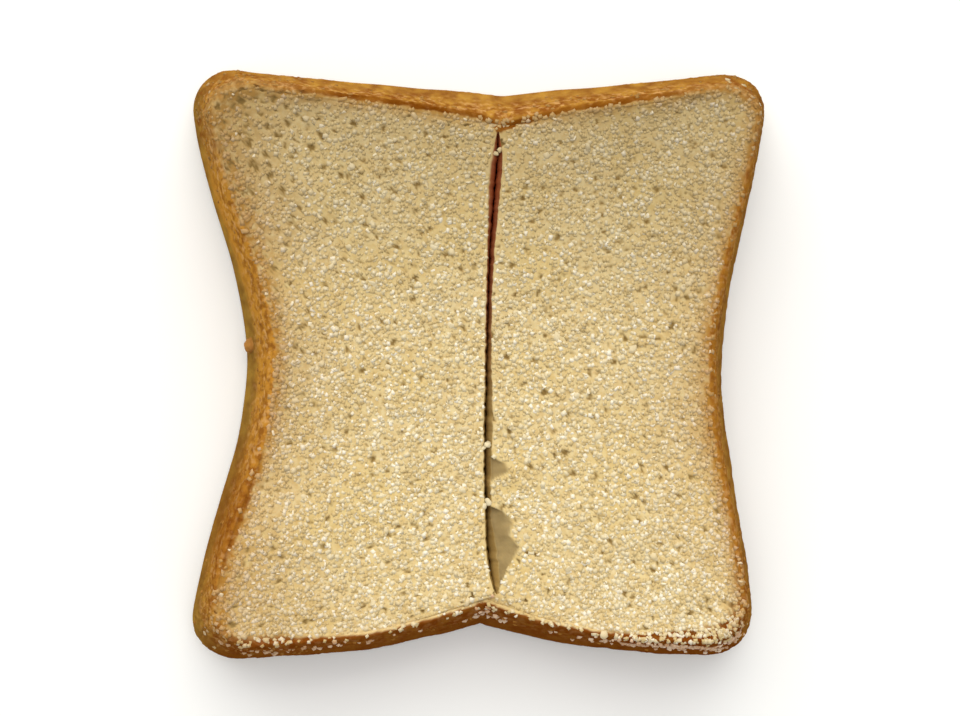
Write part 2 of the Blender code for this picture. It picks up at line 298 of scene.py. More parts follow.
@dataclass(frozen=True)
class SliceForm:
    """The slice's form: the loaf's plain section, and how baking pinched, curled and folded it."""

    half_width: float = 0.0605
    half_length: float = 0.0617
    corner_radius: float = 0.0100
    near_right_loss: float = 0.0029
    left_waist: float = 0.0110
    right_waist: float = 0.0070
    far_waist: float = 0.0047
    near_waist: float = 0.0063
    waist_reach: float = 0.97
    far_fold_x: float = 0.0049
    near_fold_x: float = 0.0
    near_fold_power: float = 2.9
    top_shrink: float = 0.0050
    left_lean: float = 0.0012
    right_lean: float = 0.0002
    far_lean: float = 0.0018
    near_lean: float = 0.0008
    wall_hollow: float = 0.0006
    edge_round: float = 0.0007
    edge_reach: float = 0.08
    lip_height: float = 0.0188
    lip_end_rise: float = 0.0034
    rim_side_height: float = 0.0232
    rim_corner_height: float = 0.0288
    rim_fold_drop: float = 0.0016
    rim_fold_power: int = 4
    rim_fold_reach: tuple[float, float] = (0.5, 0.8)
    rim_side_reach: float = 0.046
    rim_corner_reach: float = 0.080
    dish_power: float = 1.55
    flat_radius: float = 0.026
    corner_lift: float = 0.0062
    crust_thickness: float = 0.0017
    crust_stands_proud: float = 0.0006
    crumb_lump: float = 0.00030
    crumb_lump_size: float = 0.0075
    crumb_edge_reach: float = 0.08
    crust_wrinkle: float = 0.00035
    crust_wrinkle_size: float = 0.011
    crust_wrinkle_seed: float = 3.0
    slit_half_length: float = 0.0465
    slit_middle_x: float = 0.0008
    slit_end_shift: float = 0.0016
    slit_depth: float = 0.0145
    slit_end_depth: float = 0.35
    slit_depth_power: float = 0.5
    slit_taper: float = 2.2
    slit_half_gap: float = 0.00055
    slit_wide_half_gap: float = 0.00075
    slit_wide_y: float = 0.037
    slit_wide_reach: float = 0.010
    slit_floor_inset: float = 0.94
    arc_share: float = 0.26
    tears: tuple[Tear, ...] = (
        Tear(
            0.0012,
            (
                (-0.0187, 0.0),
                (-0.0202, 0.0033),
                (-0.0220, 0.0044),
                (-0.0232, 0.0016),
                (-0.0242, 0.0),
            ),
        ),
        Tear(
            0.0020,
            (
                (-0.0287, 0.0),
                (-0.0299, 0.0027),
                (-0.0322, 0.0045),
                (-0.0348, 0.0036),
                (-0.0371, 0.0055),
                (-0.0405, 0.0032),
                (-0.0435, 0.0010),
                (-0.0458, 0.0),
            ),
        ),
    )
    crest_rise: float = 2.84  # how steeply the crust's rounded top starts to rise
    corner_blend: float = 0.12  # how softly one side changes into the next at a corner
    # Where the corners begin and are full, as shares of the half width and length
    corner_reach: tuple[float, float] = (0.52, 0.82)
    # How the slit closes below its lips: depths as shares of its own, and the share of the gap left
    slit_closes_at: tuple[float, ...] = (0.0, 0.05, 0.14, 1.0)
    slit_gap_left: tuple[float, ...] = (1.0, 0.66, 0.08, 0.30)
    # How far its right lip has drawn back at places along it
    lip_back: tuple[tuple[float, float], ...] = (
        (-0.0465, 0.0),
        (-0.0453, 0.0009),
        (-0.0425, 0.0015),
        (-0.037, 0.0015),
        (-0.031, 0.0004),
        (-0.026, 0.0005),
        (-0.018, 0.0009),
        (-0.012, 0.0011),
        (-0.006, 0.0007),
        (0.0, 0.0004),
        (0.014, 0.0002),
        (0.020, 0.0004),
        (0.027, 0.0003),
        (0.032, 0.0),
    )
    # How far to the right of its centreline the slit has swayed at places along it
    sway: tuple[tuple[float, float], ...] = (
        (-0.0465, 0.0),
        (-0.0453, -0.0004),
        (-0.0425, -0.0008),
        (-0.037, -0.0012),
        (-0.029, -0.0009),
        (-0.020, -0.0008),
        (-0.012, -0.0005),
        (-0.006, -0.0002),
        (0.006, 0.0),
        (0.024, 0.0001),
        (0.032, 0.0004),
        (0.042, 0.0006),
        (0.0465, 0.0003),
    )

    def plain_section(self, share: np.ndarray) -> tuple[np.ndarray, np.ndarray]:
        """Walks round the loaf's plain section, clockwise from the far side's middle.

        Args:
            share: Shares of the way round.

        Returns:
            The x and y of each place.
        """
        flat_share = (1.0 - self.arc_share) / 2
        quarters = 4 * share
        right = quarters < 2
        quarters = np.where(right, quarters, 4 - quarters)
        far = quarters < 1
        quarters = np.where(far, quarters, 2 - quarters)
        angle = math.pi / 2 * np.clip((quarters - flat_share) / self.arc_share, 0.0, 1.0)
        flat_x = (self.half_width - self.corner_radius) * np.clip(quarters / flat_share, 0.0, 1.0)
        flat_y = (self.half_length - self.corner_radius) * np.clip((1 - quarters) / flat_share, 0.0, 1.0)
        x = flat_x + self.corner_radius * np.sin(angle)
        y = flat_y + self.corner_radius * np.cos(angle)
        return np.where(right, x, -x), np.where(far, y, -y)

    def waist(self, share: np.ndarray) -> np.ndarray:
        """Gives how much of a side's waist is felt at a share of its half length: 1 in the middle."""
        return np.cos(math.pi / 2 * np.clip(np.abs(share) / self.waist_reach, 0.0, 1.0)) ** 2

    def fold(self, x: np.ndarray, fold_x: np.ndarray | float) -> np.ndarray:
        """Gives 1 where the fold crosses a side at fold_x, falling straight to 0 at the corners."""
        reach = np.where(x > fold_x, self.half_width - fold_x, self.half_width + fold_x)
        return np.maximum(0.0, 1.0 - np.abs(x - fold_x) / reach)

    def pinched(self, x: np.ndarray, y: np.ndarray, level: float) -> tuple[np.ndarray, np.ndarray]:
        """Moves points of the plain section to where baking drew them.

        Args:
            x: The points' x in the plain section.
            y: Their y there.
            level: How high they are on the wall, from 0 at its foot to 1 at its rim.

        Returns:
            Their x and y in the baked slice.
        """
        across, along = x / self.half_width, y / self.half_length
        left = self.waist(along) * (self.left_waist + self.left_lean * level)
        right = self.waist(along) * (self.right_waist + self.right_lean * level)
        right = right + self.near_right_loss * (1.0 - along) / 2
        far = self.fold(x, self.far_fold_x) * (self.far_waist + self.far_lean * level)
        near = self.fold(x, self.near_fold_x) ** self.near_fold_power
        near = near * (self.near_waist + self.near_lean * level)
        side, end = np.where(x < 0, left, right), np.where(y > 0, far, near)
        shrink = self.top_shrink * level
        return x - across * (side + shrink), y - along * (end + shrink)

    def drawn_in(
        self, x: np.ndarray, y: np.ndarray, inset: np.ndarray | float
    ) -> tuple[np.ndarray, np.ndarray]:
        """Moves points by inset towards the slice's middle."""
        keep = 1.0 - inset / np.hypot(x, y)
        return x * keep, y * keep

    def underside(self, x: np.ndarray, y: np.ndarray) -> np.ndarray:
        """Gives the underside's height: flat in the middle and lifted towards the corners.

        Args:
            x: The places' x.
            y: Their y.

        Returns:
            The height at each.
        """
        beyond = np.maximum(0.0, np.hypot(x, y) - self.flat_radius)
        beyond = beyond / (self.rim_corner_reach - self.flat_radius)
        return self.corner_lift * beyond * beyond

    def rim_height(self, x: np.ndarray, y: np.ndarray) -> np.ndarray:
        """Gives the crust's top height: most at the corners, with a dip at both ends of the fold.

        Args:
            x: The places' x.
            y: Their y.

        Returns:
            The height at each.
        """
        corner = smooth_step(self.rim_side_reach, self.rim_corner_reach, np.hypot(x, y))
        height = self.rim_side_height + (self.rim_corner_height - self.rim_side_height) * corner
        at_end = smooth_step(*self.rim_fold_reach, np.abs(y) / self.half_length)
        fold_x = np.where(y > 0, self.far_fold_x, self.near_fold_x)
        return height - self.rim_fold_drop * at_end * self.fold(x, fold_x) ** self.rim_fold_power

    def slit_centre(self, y: np.ndarray) -> np.ndarray:
        """Gives the x of the slit's centreline, which bends to the right at both ends."""
        return self.slit_middle_x + self.slit_end_shift * (y / self.slit_half_length) ** 2

    def slit_sway(self, y: np.ndarray) -> np.ndarray:
        """Gives how far to the right of its centreline the slit has swayed."""
        return np.interp(y, *np.array(self.sway).T)

    def right_lip_back(self, y: np.ndarray) -> np.ndarray:
        """Gives how far the slit's right lip has drawn back."""
        return np.interp(y, *np.array(self.lip_back).T)

    def slit_middle(self, y: np.ndarray) -> np.ndarray:
        """Gives the x of the swayed slit's middle."""
        return self.slit_centre(y) + self.slit_sway(y)

    def slit_gap(self, y: np.ndarray) -> np.ndarray:
        """Gives half the slit's gap between its lips: most where it gapes, near its far end."""
        gape = np.exp(-(((y - self.slit_wide_y) / self.slit_wide_reach) ** 2))
        return self.slit_half_gap + self.slit_wide_half_gap * gape

    def slit_line(self, share: np.ndarray) -> tuple[np.ndarray, np.ndarray]:
        """Walks round the slit's lips, clockwise from its far end.

        Args:
            share: Shares of the way round.

        Returns:
            The x and y of each place.
        """
        y = self.slit_half_length * np.cos(2 * math.pi * share)
        side = np.clip(np.sin(2 * math.pi * share) * self.slit_taper, -1.0, 1.0)
        return self.slit_centre(y) + self.slit_gap(y) * side, y

    def lip(self, y: np.ndarray) -> np.ndarray:
        """Gives the height of the top face beside the slit."""
        return self.lip_height + self.lip_end_rise * (y / self.slit_half_length) ** 2

    def torn(self, x: np.ndarray, y: np.ndarray) -> np.ndarray:
        """Gives how far the torn lip lies under the face.

        Args:
            x: The places' x.
            y: Their y.

        Returns:
            The depth at each.
        """
        beside = x - self.slit_centre(y)
        depth = np.zeros_like(x)
        for tear in self.tears:
            share = 1.0 - beside / np.maximum(tear.width(y), TINY)
            depth += np.where(beside > 0, tear.depth * np.maximum(0.0, share), 0.0)
        return depth

    def wall(self, share: np.ndarray, level: float) -> np.ndarray:
        """Gives points of the crust wall.

        Args:
            share: Shares of the way round.
            level: How high on the wall, from 0 at its foot to 1 at its rim.

        Returns:
            The points, one a row.
        """
        plain = self.plain_section(share)
        foot = self.underside(*self.pinched(*plain, 0.0))
        rim = self.rim_height(*self.pinched(*plain, 1.0))
        z = foot + (rim - foot) * level
        x, y = self.pinched(*plain, level)
        inset = self.edge_round * max(0.0, 1.0 - min(level, 1.0 - level) / self.edge_reach)
        inset = inset + self.wall_hollow * math.sin(math.pi * level)
        wrinkle = lumps(joined(x, y, z), self.crust_wrinkle_size, self.crust_wrinkle_seed)
        return joined(*self.drawn_in(x, y, inset + self.crust_wrinkle * wrinkle), z)

    def crest(self, share: np.ndarray, over: float) -> np.ndarray:
        """Gives points of the crust's rounded top.

        Args:
            share: Shares of the way round.
            over: How far over it they lie, from 0 at the wall to 1 at the crumb.

        Returns:
            The points, one a row.
        """
        rim = self.wall(share, 1.0)
        x, y = self.drawn_in(rim[..., 0], rim[..., 1], self.crust_thickness * over)
        rise = self.crest_rise * over - (self.crest_rise + 1.0) * over * over
        return joined(x, y, rim[..., 2] + self.crust_stands_proud * rise)

    def face(self, share: np.ndarray, inwards: float) -> np.ndarray:
        """Gives points of the top face.

        Args:
            share: Shares of the way round.
            inwards: How far in they lie, from 0 at the crust to 1 at the slit's lip.

        Returns:
            The points, one a row.
        """
        rim = self.wall(share, 1.0)
        start_x, start_y = self.drawn_in(rim[..., 0], rim[..., 1], self.crust_thickness)
        lip_x, lip_y = self.slit_line(share)
        x = start_x + (lip_x - start_x) * inwards
        y = start_y + (lip_y - start_y) * inwards
        low = self.lip(lip_y)
        high = self.rim_height(rim[..., 0], rim[..., 1]) - self.crust_stands_proud
        z = low + (high - low) * (1.0 - inwards) ** self.dish_power
        fade = float(smooth_step(0.0, self.crumb_edge_reach, np.array(inwards)))
        z = z + self.crumb_lump * fade * lumps(joined(x, y, 0.0), self.crumb_lump_size)
        return joined(x, y, z - self.torn(x, y))

    def slit(self, share: np.ndarray, down: float) -> np.ndarray:
        """Gives points of the slit's walls.

        Args:
            share: Shares of the way round.
            down: How far down they lie, from 0 at the lip to 1 at the floor.

        Returns:
            The points, one a row.
        """
        lip = self.face(share, 1.0)
        centre = self.slit_centre(lip[..., 1])
        x = centre + (lip[..., 0] - centre) * np.interp(down, self.slit_closes_at, self.slit_gap_left)
        y = lip[..., 1] * (1.0 - (1.0 - self.slit_floor_inset) * down)
        middle = np.abs(np.sin(2 * math.pi * share)) ** self.slit_depth_power
        depth = self.slit_depth * (self.slit_end_depth + (1.0 - self.slit_end_depth) * middle)
        return joined(x, y, lip[..., 2] + (self.lip(lip[..., 1]) - depth - lip[..., 2]) * down)

    @cached_property
    def stand(self) -> np.ndarray:
        """The move that puts the form's middle over the origin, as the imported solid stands.

        Returns:
            The move's x, y and z.
        """
        shares = np.arange(CAD_POINTS_ROUND) / CAD_POINTS_ROUND
        ring = np.concatenate([self.wall(shares, level) for level in CAD_WALL_LEVELS])
        middle = (ring.min(axis=0) + ring.max(axis=0)) / 2
        return np.array((-middle[0], -middle[1], 0.0))

    def plain(self, places: np.ndarray) -> tuple[np.ndarray, np.ndarray]:
        """Turns places on the standing slice back into the form's own x and y."""
        return places[..., 0] - self.stand[0], places[..., 1] - self.stand[1]

    def side_share(self, side: Side, places: np.ndarray) -> np.ndarray:
        """Gives how far each place belongs to a side, with a soft change over at the corners.

        Args:
            side: The side.
            places: The places, one a row.

        Returns:
            A share for each place.
        """
        across, up = places[..., 0] / self.half_width, places[..., 1] / self.half_length
        towards = across * side.value[0] + up * side.value[1]
        away = np.abs(across * side.value[1] + up * side.value[0])
        return smooth_step(-self.corner_blend, self.corner_blend, towards - away)

    def by_side(self, places: np.ndarray, values: dict[Side, float]) -> np.ndarray:
        """Blends a value that each side has over the places."""
        return sum(self.side_share(side, places) * value for side, value in values.items())

    def cornerness(self, places: np.ndarray) -> np.ndarray:
        """Gives 1 at the slice's corners and 0 away from them.

        Args:
            places: The places, one a row.

        Returns:
            A share for each place.
        """
        across = np.abs(places[..., 0]) / self.half_width
        up = np.abs(places[..., 1]) / self.half_length
        return smooth_step(*self.corner_reach, np.minimum(across, up))


@dataclass(frozen=True)
class Spot:
    """A round place where something is stronger or weaker than elsewhere."""

    x: float
    y: float
    radius: float
    strength: float

    def at(self, places: np.ndarray) -> np.ndarray:
        """Gives its strength at each place."""
        away = np.hypot(places[..., 0] - self.x, places[..., 1] - self.y)
        return self.strength * np.exp(-((away / self.radius) ** 2))


def total(spots: tuple[Spot, ...], places: np.ndarray) -> np.ndarray:
    """Adds up the strengths of several spots at each place."""
    return sum(spot.at(places) for spot in spots)


@dataclass
class Rim:
    """The line round the top of the crust, to measure from."""

    form: SliceForm
    points: int = 2400

    def __post_init__(self) -> None:
        """Sorts the line's points for searching."""
        line = self.form.wall(np.arange(self.points) / self.points, 1.0)
        self.tree = flat_tree(line + self.form.stand)

    def away(self, places: np.ndarray) -> np.ndarray:
        """Gives how far each place is from the line, seen from above."""
        return np.array([self.tree.find((p[0], p[1], 0.0))[2] for p in places])


@dataclass
class Pores:
    """The crumb's open pores."""

    form: SliceForm
    pitch: float = 2.4 * MM
    share: float = 0.62
    radius: tuple[float, float] = (0.30 * MM, 0.68 * MM)
    open_corner: Spot = Spot(-0.050, 0.050, 0.022, 0.38)
    # How far their outlines stray from round, in x and in y
    stray: tuple[Lumps, Lumps] = (Lumps(0.75 * MM, 0.9 * MM, 43.0), Lumps(0.75 * MM, 0.9 * MM, 45.0))
    seed: int = 7

    def __post_init__(self) -> None:
        """Draws the pores on an uneven grid."""
        rng = np.random.default_rng(self.seed)
        steps = int(2 * self.form.half_length / self.pitch)
        column, row = np.meshgrid(np.arange(steps), np.arange(steps))
        jitter = rng.uniform(-0.5, 0.5, (2, steps, steps))
        spots = np.stack((column + 0.5 + jitter[0], row + 0.5 + jitter[1]), axis=-1).reshape(-1, 2)
        spots = spots * self.pitch - self.form.half_length
        corner = self.open_corner.at(spots)
        smallest, largest = self.radius
        radii = (smallest + (largest - smallest) * rng.random(len(spots)) ** 2) * (1.0 + corner)
        self.radii = np.where(rng.random(len(spots)) < self.share + corner, radii, 0.0)
        self.tree = flat_tree(spots)

    def depth(self, places: np.ndarray, margin: float = 0.0) -> np.ndarray:
        """Gives how deep each place lies in a pore.

        Args:
            places: The places, one a row.
            margin: How much wider than their own size the pores are taken to be.

        Returns:
            Shares of the largest pore's radius.
        """
        found = [self.tree.find((p[0], p[1], 0.0))[1:] for p in places]
        radii = self.radii[[pore for pore, _ in found]]
        wide = np.where(radii > 0, radii + margin, TINY)
        inside = 1.0 - (np.array([away for _, away in found]) / wide) ** 2
        return np.maximum(0.0, inside) * wide / self.radius[1]


@dataclass(frozen=True)
class Baking:
    """How brown the oven has made the crumb and its sugar, and where painted shade darkens them."""

    # Painted shade that darkens the crumb and its sugar towards the far rim
    painted_shade_share: float = 0.34
    painted_shade_reach: tuple[float, float] = (-0.004, 0.050)
    side_shares: dict[Side, float] = field(
        default_factory=lambda: {Side.FAR: 0.24, Side.NEAR: 0.10, Side.LEFT: 0.58, Side.RIGHT: 0.44}
    )
    side_reach: float = 8.5 * MM
    rim_shares: dict[Side, float] = field(
        default_factory=lambda: {Side.FAR: 0.90, Side.NEAR: 0.05, Side.LEFT: 0.90, Side.RIGHT: 0.75}
    )
    rim_reach: float = 2.4 * MM
    spots: tuple[Spot, ...] = (
        Spot(-0.055, 0.055, 0.013, 0.80),
        Spot(-0.048, -0.050, 0.017, 0.34),
        Spot(-0.049, 0.030, 0.010, 0.30),
        Spot(0.050, -0.010, 0.012, 0.18),
    )
    # Spots of painted shade on the crumb and its sugar
    painted_shade_spots: tuple[Spot, ...] = (
        Spot(0.030, 0.040, 0.026, 0.10),
        Spot(0.047, 0.0, 0.014, 0.09),
        Spot(-0.042, 0.0, 0.013, 0.12),
        Spot(-0.045, -0.049, 0.017, 0.13),
        Spot(-0.054, 0.054, 0.014, 0.12),
    )

    def at(self, places: np.ndarray, from_rim: np.ndarray, form: SliceForm) -> np.ndarray:
        """Gives the brownness of each place.

        Args:
            places: The places, one a row.
            from_rim: How far each one is from the rim, seen from above.
            form: The slice's form.

        Returns:
            A share for each place.
        """
        brown = form.by_side(places, self.side_shares) * np.exp(-from_rim / self.side_reach)
        at_rim = np.exp(-((from_rim / self.rim_reach) ** 2))
        brown = brown + form.by_side(places, self.rim_shares) * at_rim
        return np.clip(brown + total(self.spots, places), 0.0, 1.0)

    def painted_shade(self, places: np.ndarray) -> np.ndarray:
        """Gives how much painted shade each place has: most towards the far rim, whose face slopes away from
        the light, and in a few spots.
        """
        towards_far = self.painted_shade_share * smooth_step(*self.painted_shade_reach, places[..., 1])
        return towards_far + total(self.painted_shade_spots, places)


@dataclass(frozen=True)
class CrustEdge:
    """How one side's crust is baked, and how much painted shade its wall and its line take, with distances
    inwards from the rim, below 0 on the wall.
    """

    line: float  # the middle of its caramelised line
    line_half_width: float
    line_strength: float
    line_shade: float  # how much painted shade darkens the line, as on the rim's inner side facing away from the light
    ends: float  # where the crust gives way to crumb
    dark: float  # how much darker than the palest wall it is painted: on the near wall, which faces away from the light, painted shade
    sugared: float  # the share of the sugar that has stuck to it


@dataclass(frozen=True)
class Mottle:
    """Patches of one size, over which a share wanders between none and full."""

    size: float
    none_at: float  # the noise's value where the share is 0
    full_at: float  # its value where the share is 1
    detail: float = 3.0

    def share(self, tree: Tree, where: Socket) -> Socket:
        """Adds the share to a material.

        Args:
            tree: The material's node tree.
            where: The place on the slice, in metres.

        Returns:
            The share's socket.
        """
        settings: Values = {"Scale": 1 / self.size, "Detail": self.detail}
        value = add_node(tree, "ShaderNodeTexNoise", settings, {"Vector": where}, "Fac")
        ends: Values = {"From Min": self.none_at, "From Max": self.full_at}
        return add_node(tree, "ShaderNodeMapRange", ends, {"Value": value})


@dataclass(frozen=True)
class BakedBreadFinish:
    """White tin loaf, cut, buttered and baked: pale open crumb inside a thin browned crust.

    The crumb is matt and mottled, with painted shade in its open pores, down the slit and towards
    the far rim, and browner towards the crust. Butter has soaked in, which turns it yellow in
    patches. The crust is a dull skin, tan and brown in blotches, and its cut edge has caramelised.
    Painted shade darkens the wall towards its foot, the near wall, and the caramelised line where
    the rim shades its inner side.
    """

    crumb_pale: str = "#DAC594"
    crumb_tan: str = "#CDB27C"
    buttered: str = "#D2B46C"
    toasted: str = "#A87730"
    # painted shade: the dull tan that the crumb darkens to towards the far rim
    painted_shade: str = "#8C7850"
    # painted shade: the colour of the crumb down in its pores
    pore: str = "#846A3C"
    torn: str = "#947E54"
    # painted shade: the slit's walls darkened in its depth, reddish towards the far end
    slit_shade_far: str = "#842400"
    slit_shade_near: str = "#8E6E34"
    wall_tan: str = "#BC8C3A"
    wall_brown: str = "#885624"
    # painted shade: the darker olive brown of the wall towards its foot, near the floor
    wall_foot_shade: str = "#766028"
    wall_fleck: str = "#D2A266"
    wall_pit: str = "#7C4818"
    # what the wall darkens to by side, as painted shade most of all on the near wall
    wall_dark: str = "#6A2E02"
    cut_edge: str = "#C88C34"
    # painted shade: the caramelised line darkened where the rim shades its inner side
    cut_edge_shade: str = "#562800"
    crumb_cells: Mottle = Mottle(1.1 * MM, 0.36, 0.62)  # as they show between the sugar
    butter_patches: Mottle = Mottle(16 * MM, 0.42, 0.72)
    butter_share: float = 0.5  # how yellow they are at most
    toasted_cells: Mottle = Mottle(1.87 * MM, 0.20, 0.55)
    torn_cells: Mottle = Mottle(2.2 * MM, -0.6, 0.6)
    wall_stretch: float = 0.4  # blotches, pits and flecks run down the wall
    wall_blotches: Mottle = Mottle(3.0 * MM, 0.34, 0.66, 6.0)
    foot_levels: tuple[float, float] = (0.80, 0.25)  # where the foot's painted shade starts and is full
    foot_shares: tuple[float, float] = (0.60, 0.15)  # how full the foot's painted shade is, under a pale line and a dark one
    # patches over which the line's painted shade deepens
    line_shade_patches: Mottle = Mottle(6.0 * MM, -0.60, 0.72)
    wall_pits: Mottle = Mottle(1.52 * MM, 0.44, 0.62, 4.0)
    pit_share: float = 0.85  # how dark they are at most
    wall_flecks: Mottle = Mottle(1.2 * MM, 0.50, 0.66, 4.0)
    fleck_share: float = 0.75  # how pale they are at most
    roughness: tuple[float, float] = (0.62, 0.85)
    relief_size: float = 0.8 * MM
    relief_height: float = 0.10 * MM
    specular: float = 0.0  # dry crumb and crust are so rough that even at a grazing view none shows

    def crumb(self, tree: Tree, where: Socket, mark: dict[str, Socket]) -> Socket:
        """Builds the colour of crumb, slit and torn lip.

        Args:
            tree: The material's node tree.
            where: The place on the slice, in metres.
            mark: What the slice's mesh says of the place, by name.

        Returns:
            The colour's socket.
        """
        crumb = mixed(tree, self.crumb_tan, self.crumb_pale, self.crumb_cells.share(tree, where))
        butter = multiplied(tree, self.butter_patches.share(tree, where), self.butter_share)
        crumb = mixed(tree, crumb, self.buttered, butter)
        browned = multiplied(tree, mark["toasting"], self.toasted_cells.share(tree, where))
        crumb = mixed(tree, crumb, self.toasted, browned)
        # painted shade, deepest towards the far rim
        crumb = mixed(tree, crumb, self.painted_shade, mark["painted_shade"])
        # painted shade in the pores
        crumb = mixed(tree, crumb, self.pore, mark["pore"])
        torn = multiplied(tree, mark["torn"], self.torn_cells.share(tree, where))
        crumb = mixed(tree, crumb, self.torn, torn)
        # painted shade inside the slit
        slit = mixed(tree, self.slit_shade_near, self.slit_shade_far, mark["slit_shade_far"])
        return mixed(tree, crumb, slit, mark["slit"])

    def crust(self, tree: Tree, where: Socket, mark: dict[str, Socket]) -> Socket:
        """Builds the colour of the crust.

        Args:
            tree: The material's node tree.
            where: The place on the slice, in metres.
            mark: What the slice's mesh says of the place, by name.

        Returns:
            The colour's socket.
        """
        squeeze: Values = {"operation": "MULTIPLY", 1: (1.0, 1.0, self.wall_stretch)}
        down_wall = add_node(tree, "ShaderNodeVectorMath", squeeze, {0: where})
        crust = mixed(tree, self.wall_tan, self.wall_brown, self.wall_blotches.share(tree, down_wall))
        levels: Values = dict(zip(("From Min", "From Max"), self.foot_levels))
        # painted shade towards the wall's foot
        foot = add_node(tree, "ShaderNodeMapRange", levels, {"Value": mark["level"]})
        shares: Values = dict(zip(("To Min", "To Max"), self.foot_shares))
        olive = add_node(tree, "ShaderNodeMapRange", shares, {"Value": mark["painted_line_shade"]})
        crust = mixed(tree, crust, self.wall_foot_shade, multiplied(tree, foot, olive))
        # painted shade along the line, deepest at the far rim, whose inner side faces away from the light
        deep = multiplied(tree, self.line_shade_patches.share(tree, where), mark["painted_line_shade"])
        line = mixed(tree, self.cut_edge, self.cut_edge_shade, deep)
        crust = mixed(tree, crust, line, mark["cut_edge"])
        for mottle, most, colour in (
            (self.wall_pits, self.pit_share, self.wall_pit),
            (self.wall_flecks, self.fleck_share, self.wall_fleck),
        ):
            found = multiplied(tree, mottle.share(tree, down_wall), mark["granular"])
            crust = mixed(tree, crust, colour, multiplied(tree, found, most))
        # darker by side, most on the near wall as painted shade, and in the dark spots
        crust = mixed(tree, crust, self.wall_dark, mark["dark"])
        # painted shade in the crust's pores
        return mixed(tree, crust, self.wall_pit, mark["pore"])

    def colour(self, tree: Tree, where: Socket) -> Socket:
        """Builds the colour of crumb and crust.

        Args:
            tree: The material's node tree.
            where: The place on the slice, in metres.

        Returns:
            The colour's socket.
        """
        mark = {
            name: add_node(tree, "ShaderNodeAttribute", {"attribute_name": name}, output="Fac")
            for name in BreadSlice.MARKS
        }
        crumb, crust = self.crumb(tree, where, mark), self.crust(tree, where, mark)
        return mixed(tree, crumb, crust, mark["crust"])

    def make(self) -> bpy.types.Material:
        """Makes the material.

        Returns:
            The material.
        """
        material = bpy.data.materials.new("baked_buttered_bread")
        material.use_nodes = True
        tree = material.node_tree
        tree.nodes.clear()
        where = add_node(tree, "ShaderNodeTexCoord", output="Object")
        cells = add_node(
            tree,
            "ShaderNodeTexNoise",
            {"Scale": 1 / self.relief_size, "Detail": 4.0, "Roughness": 0.6},
            {"Vector": where},
            "Fac",
        )
        dull, duller = self.roughness
        roughness = add_node(tree, "ShaderNodeMapRange", {"To Min": dull, "To Max": duller}, {"Value": cells})
        relief = add_node(
            tree, "ShaderNodeBump", {"Strength": 0.7, "Distance": self.relief_height}, {"Height": cells}
        )
        shader = add_node(
            tree,
            "ShaderNodeBsdfPrincipled",
            {
                "IOR": 1.45,
                "Specular IOR Level": self.specular,
                "Subsurface Weight": 0.08,
                "Subsurface Scale": 1.0 * MM,
                "Subsurface Radius": (1.0, 0.6, 0.3),
            },
            {"Base Color": self.colour(tree, where), "Roughness": roughness, "Normal": relief},
        )
        add_node(tree, "ShaderNodeOutputMaterial", links={"Surface": shader})
        return material


@dataclass(frozen=True)
class SugarFinish:
    """Granulated sugar, crystallised, then half melted in hot butter.

    Butter and heat have clouded the grains, so that they look cream to amber. The driest ones
    still have hard clear faces that flash.
    """

    name: str
    pale: str
    deep: str
    roughness: float = 0.22
    browned: str = "#AE7C3A"
    most_browned: float = 0.80
    # painted shade: the dull tan that the grains darken to towards the far rim
    painted_shade: str = "#8C7850"
    ior: float = 1.54
    specular: float = 0.20  # the butter film dulls the grains
    clouds: Mottle = Mottle(5 * MM, 0.35, 0.65, 2.0)  # far coarser than a grain, so that it is one colour

    def make(self) -> bpy.types.Material:
        """Makes the material.

        Returns:
            The material.
        """
        material = bpy.data.materials.new(self.name)
        material.use_nodes = True
        tree = material.node_tree
        tree.nodes.clear()
        where = add_node(tree, "ShaderNodeTexCoord", output="Object")
        toasting, painted_shade = (
            add_node(tree, "ShaderNodeAttribute", {"attribute_name": name}, output="Fac")
            for name in ("toasting", "painted_shade")
        )
        colour = mixed(tree, self.pale, self.deep, self.clouds.share(tree, where))
        colour = mixed(tree, colour, self.browned, multiplied(tree, toasting, self.most_browned))
        colour = mixed(tree, colour, self.painted_shade, painted_shade)
        settings = {
            "IOR": self.ior,
            "Specular IOR Level": self.specular,
            "Roughness": self.roughness,
        }
        shader = add_node(tree, "ShaderNodeBsdfPrincipled", settings, {"Base Color": colour})
        add_node(tree, "ShaderNodeOutputMaterial", links={"Surface": shader})
        return material


@dataclass(frozen=True)
class CrumbRelief:
    """The crumb's small bumps and pores, and how it has risen to the crust round it."""

    bumps: tuple[Lumps, ...] = (Lumps(0.12 * MM, 2.6 * MM, 5.0, 0.4), Lumps(0.06 * MM, 1.3 * MM, 9.0, 0.4))
    starts_over: float = 1.0 * MM  # the distance past the crust over which bumps and pores start
    corner_reach: float = 2.0 * MM  # how much further out they start at the corners
    pore_depth: float = 0.75  # of the deepest pore, as a share of its radius
    torn_depth: float = 0.25 * MM  # a place torn as deep as this is smooth
    underside_from: float = 0.05  # how far out the underside's bumps start
    # How far the crumb has risen level with each side's crust; at the corners it has everywhere
    level_with_crust: dict[Side, float] = field(
        default_factory=lambda: {Side.FAR: 1.0, Side.NEAR: 0.3, Side.LEFT: 0.8, Side.RIGHT: 0.7}
    )
    level_reach: float = 2.5 * MM  # how far in it has risen
    crest_sag: float = 2.2  # how much the crust's rounded top is flattened there


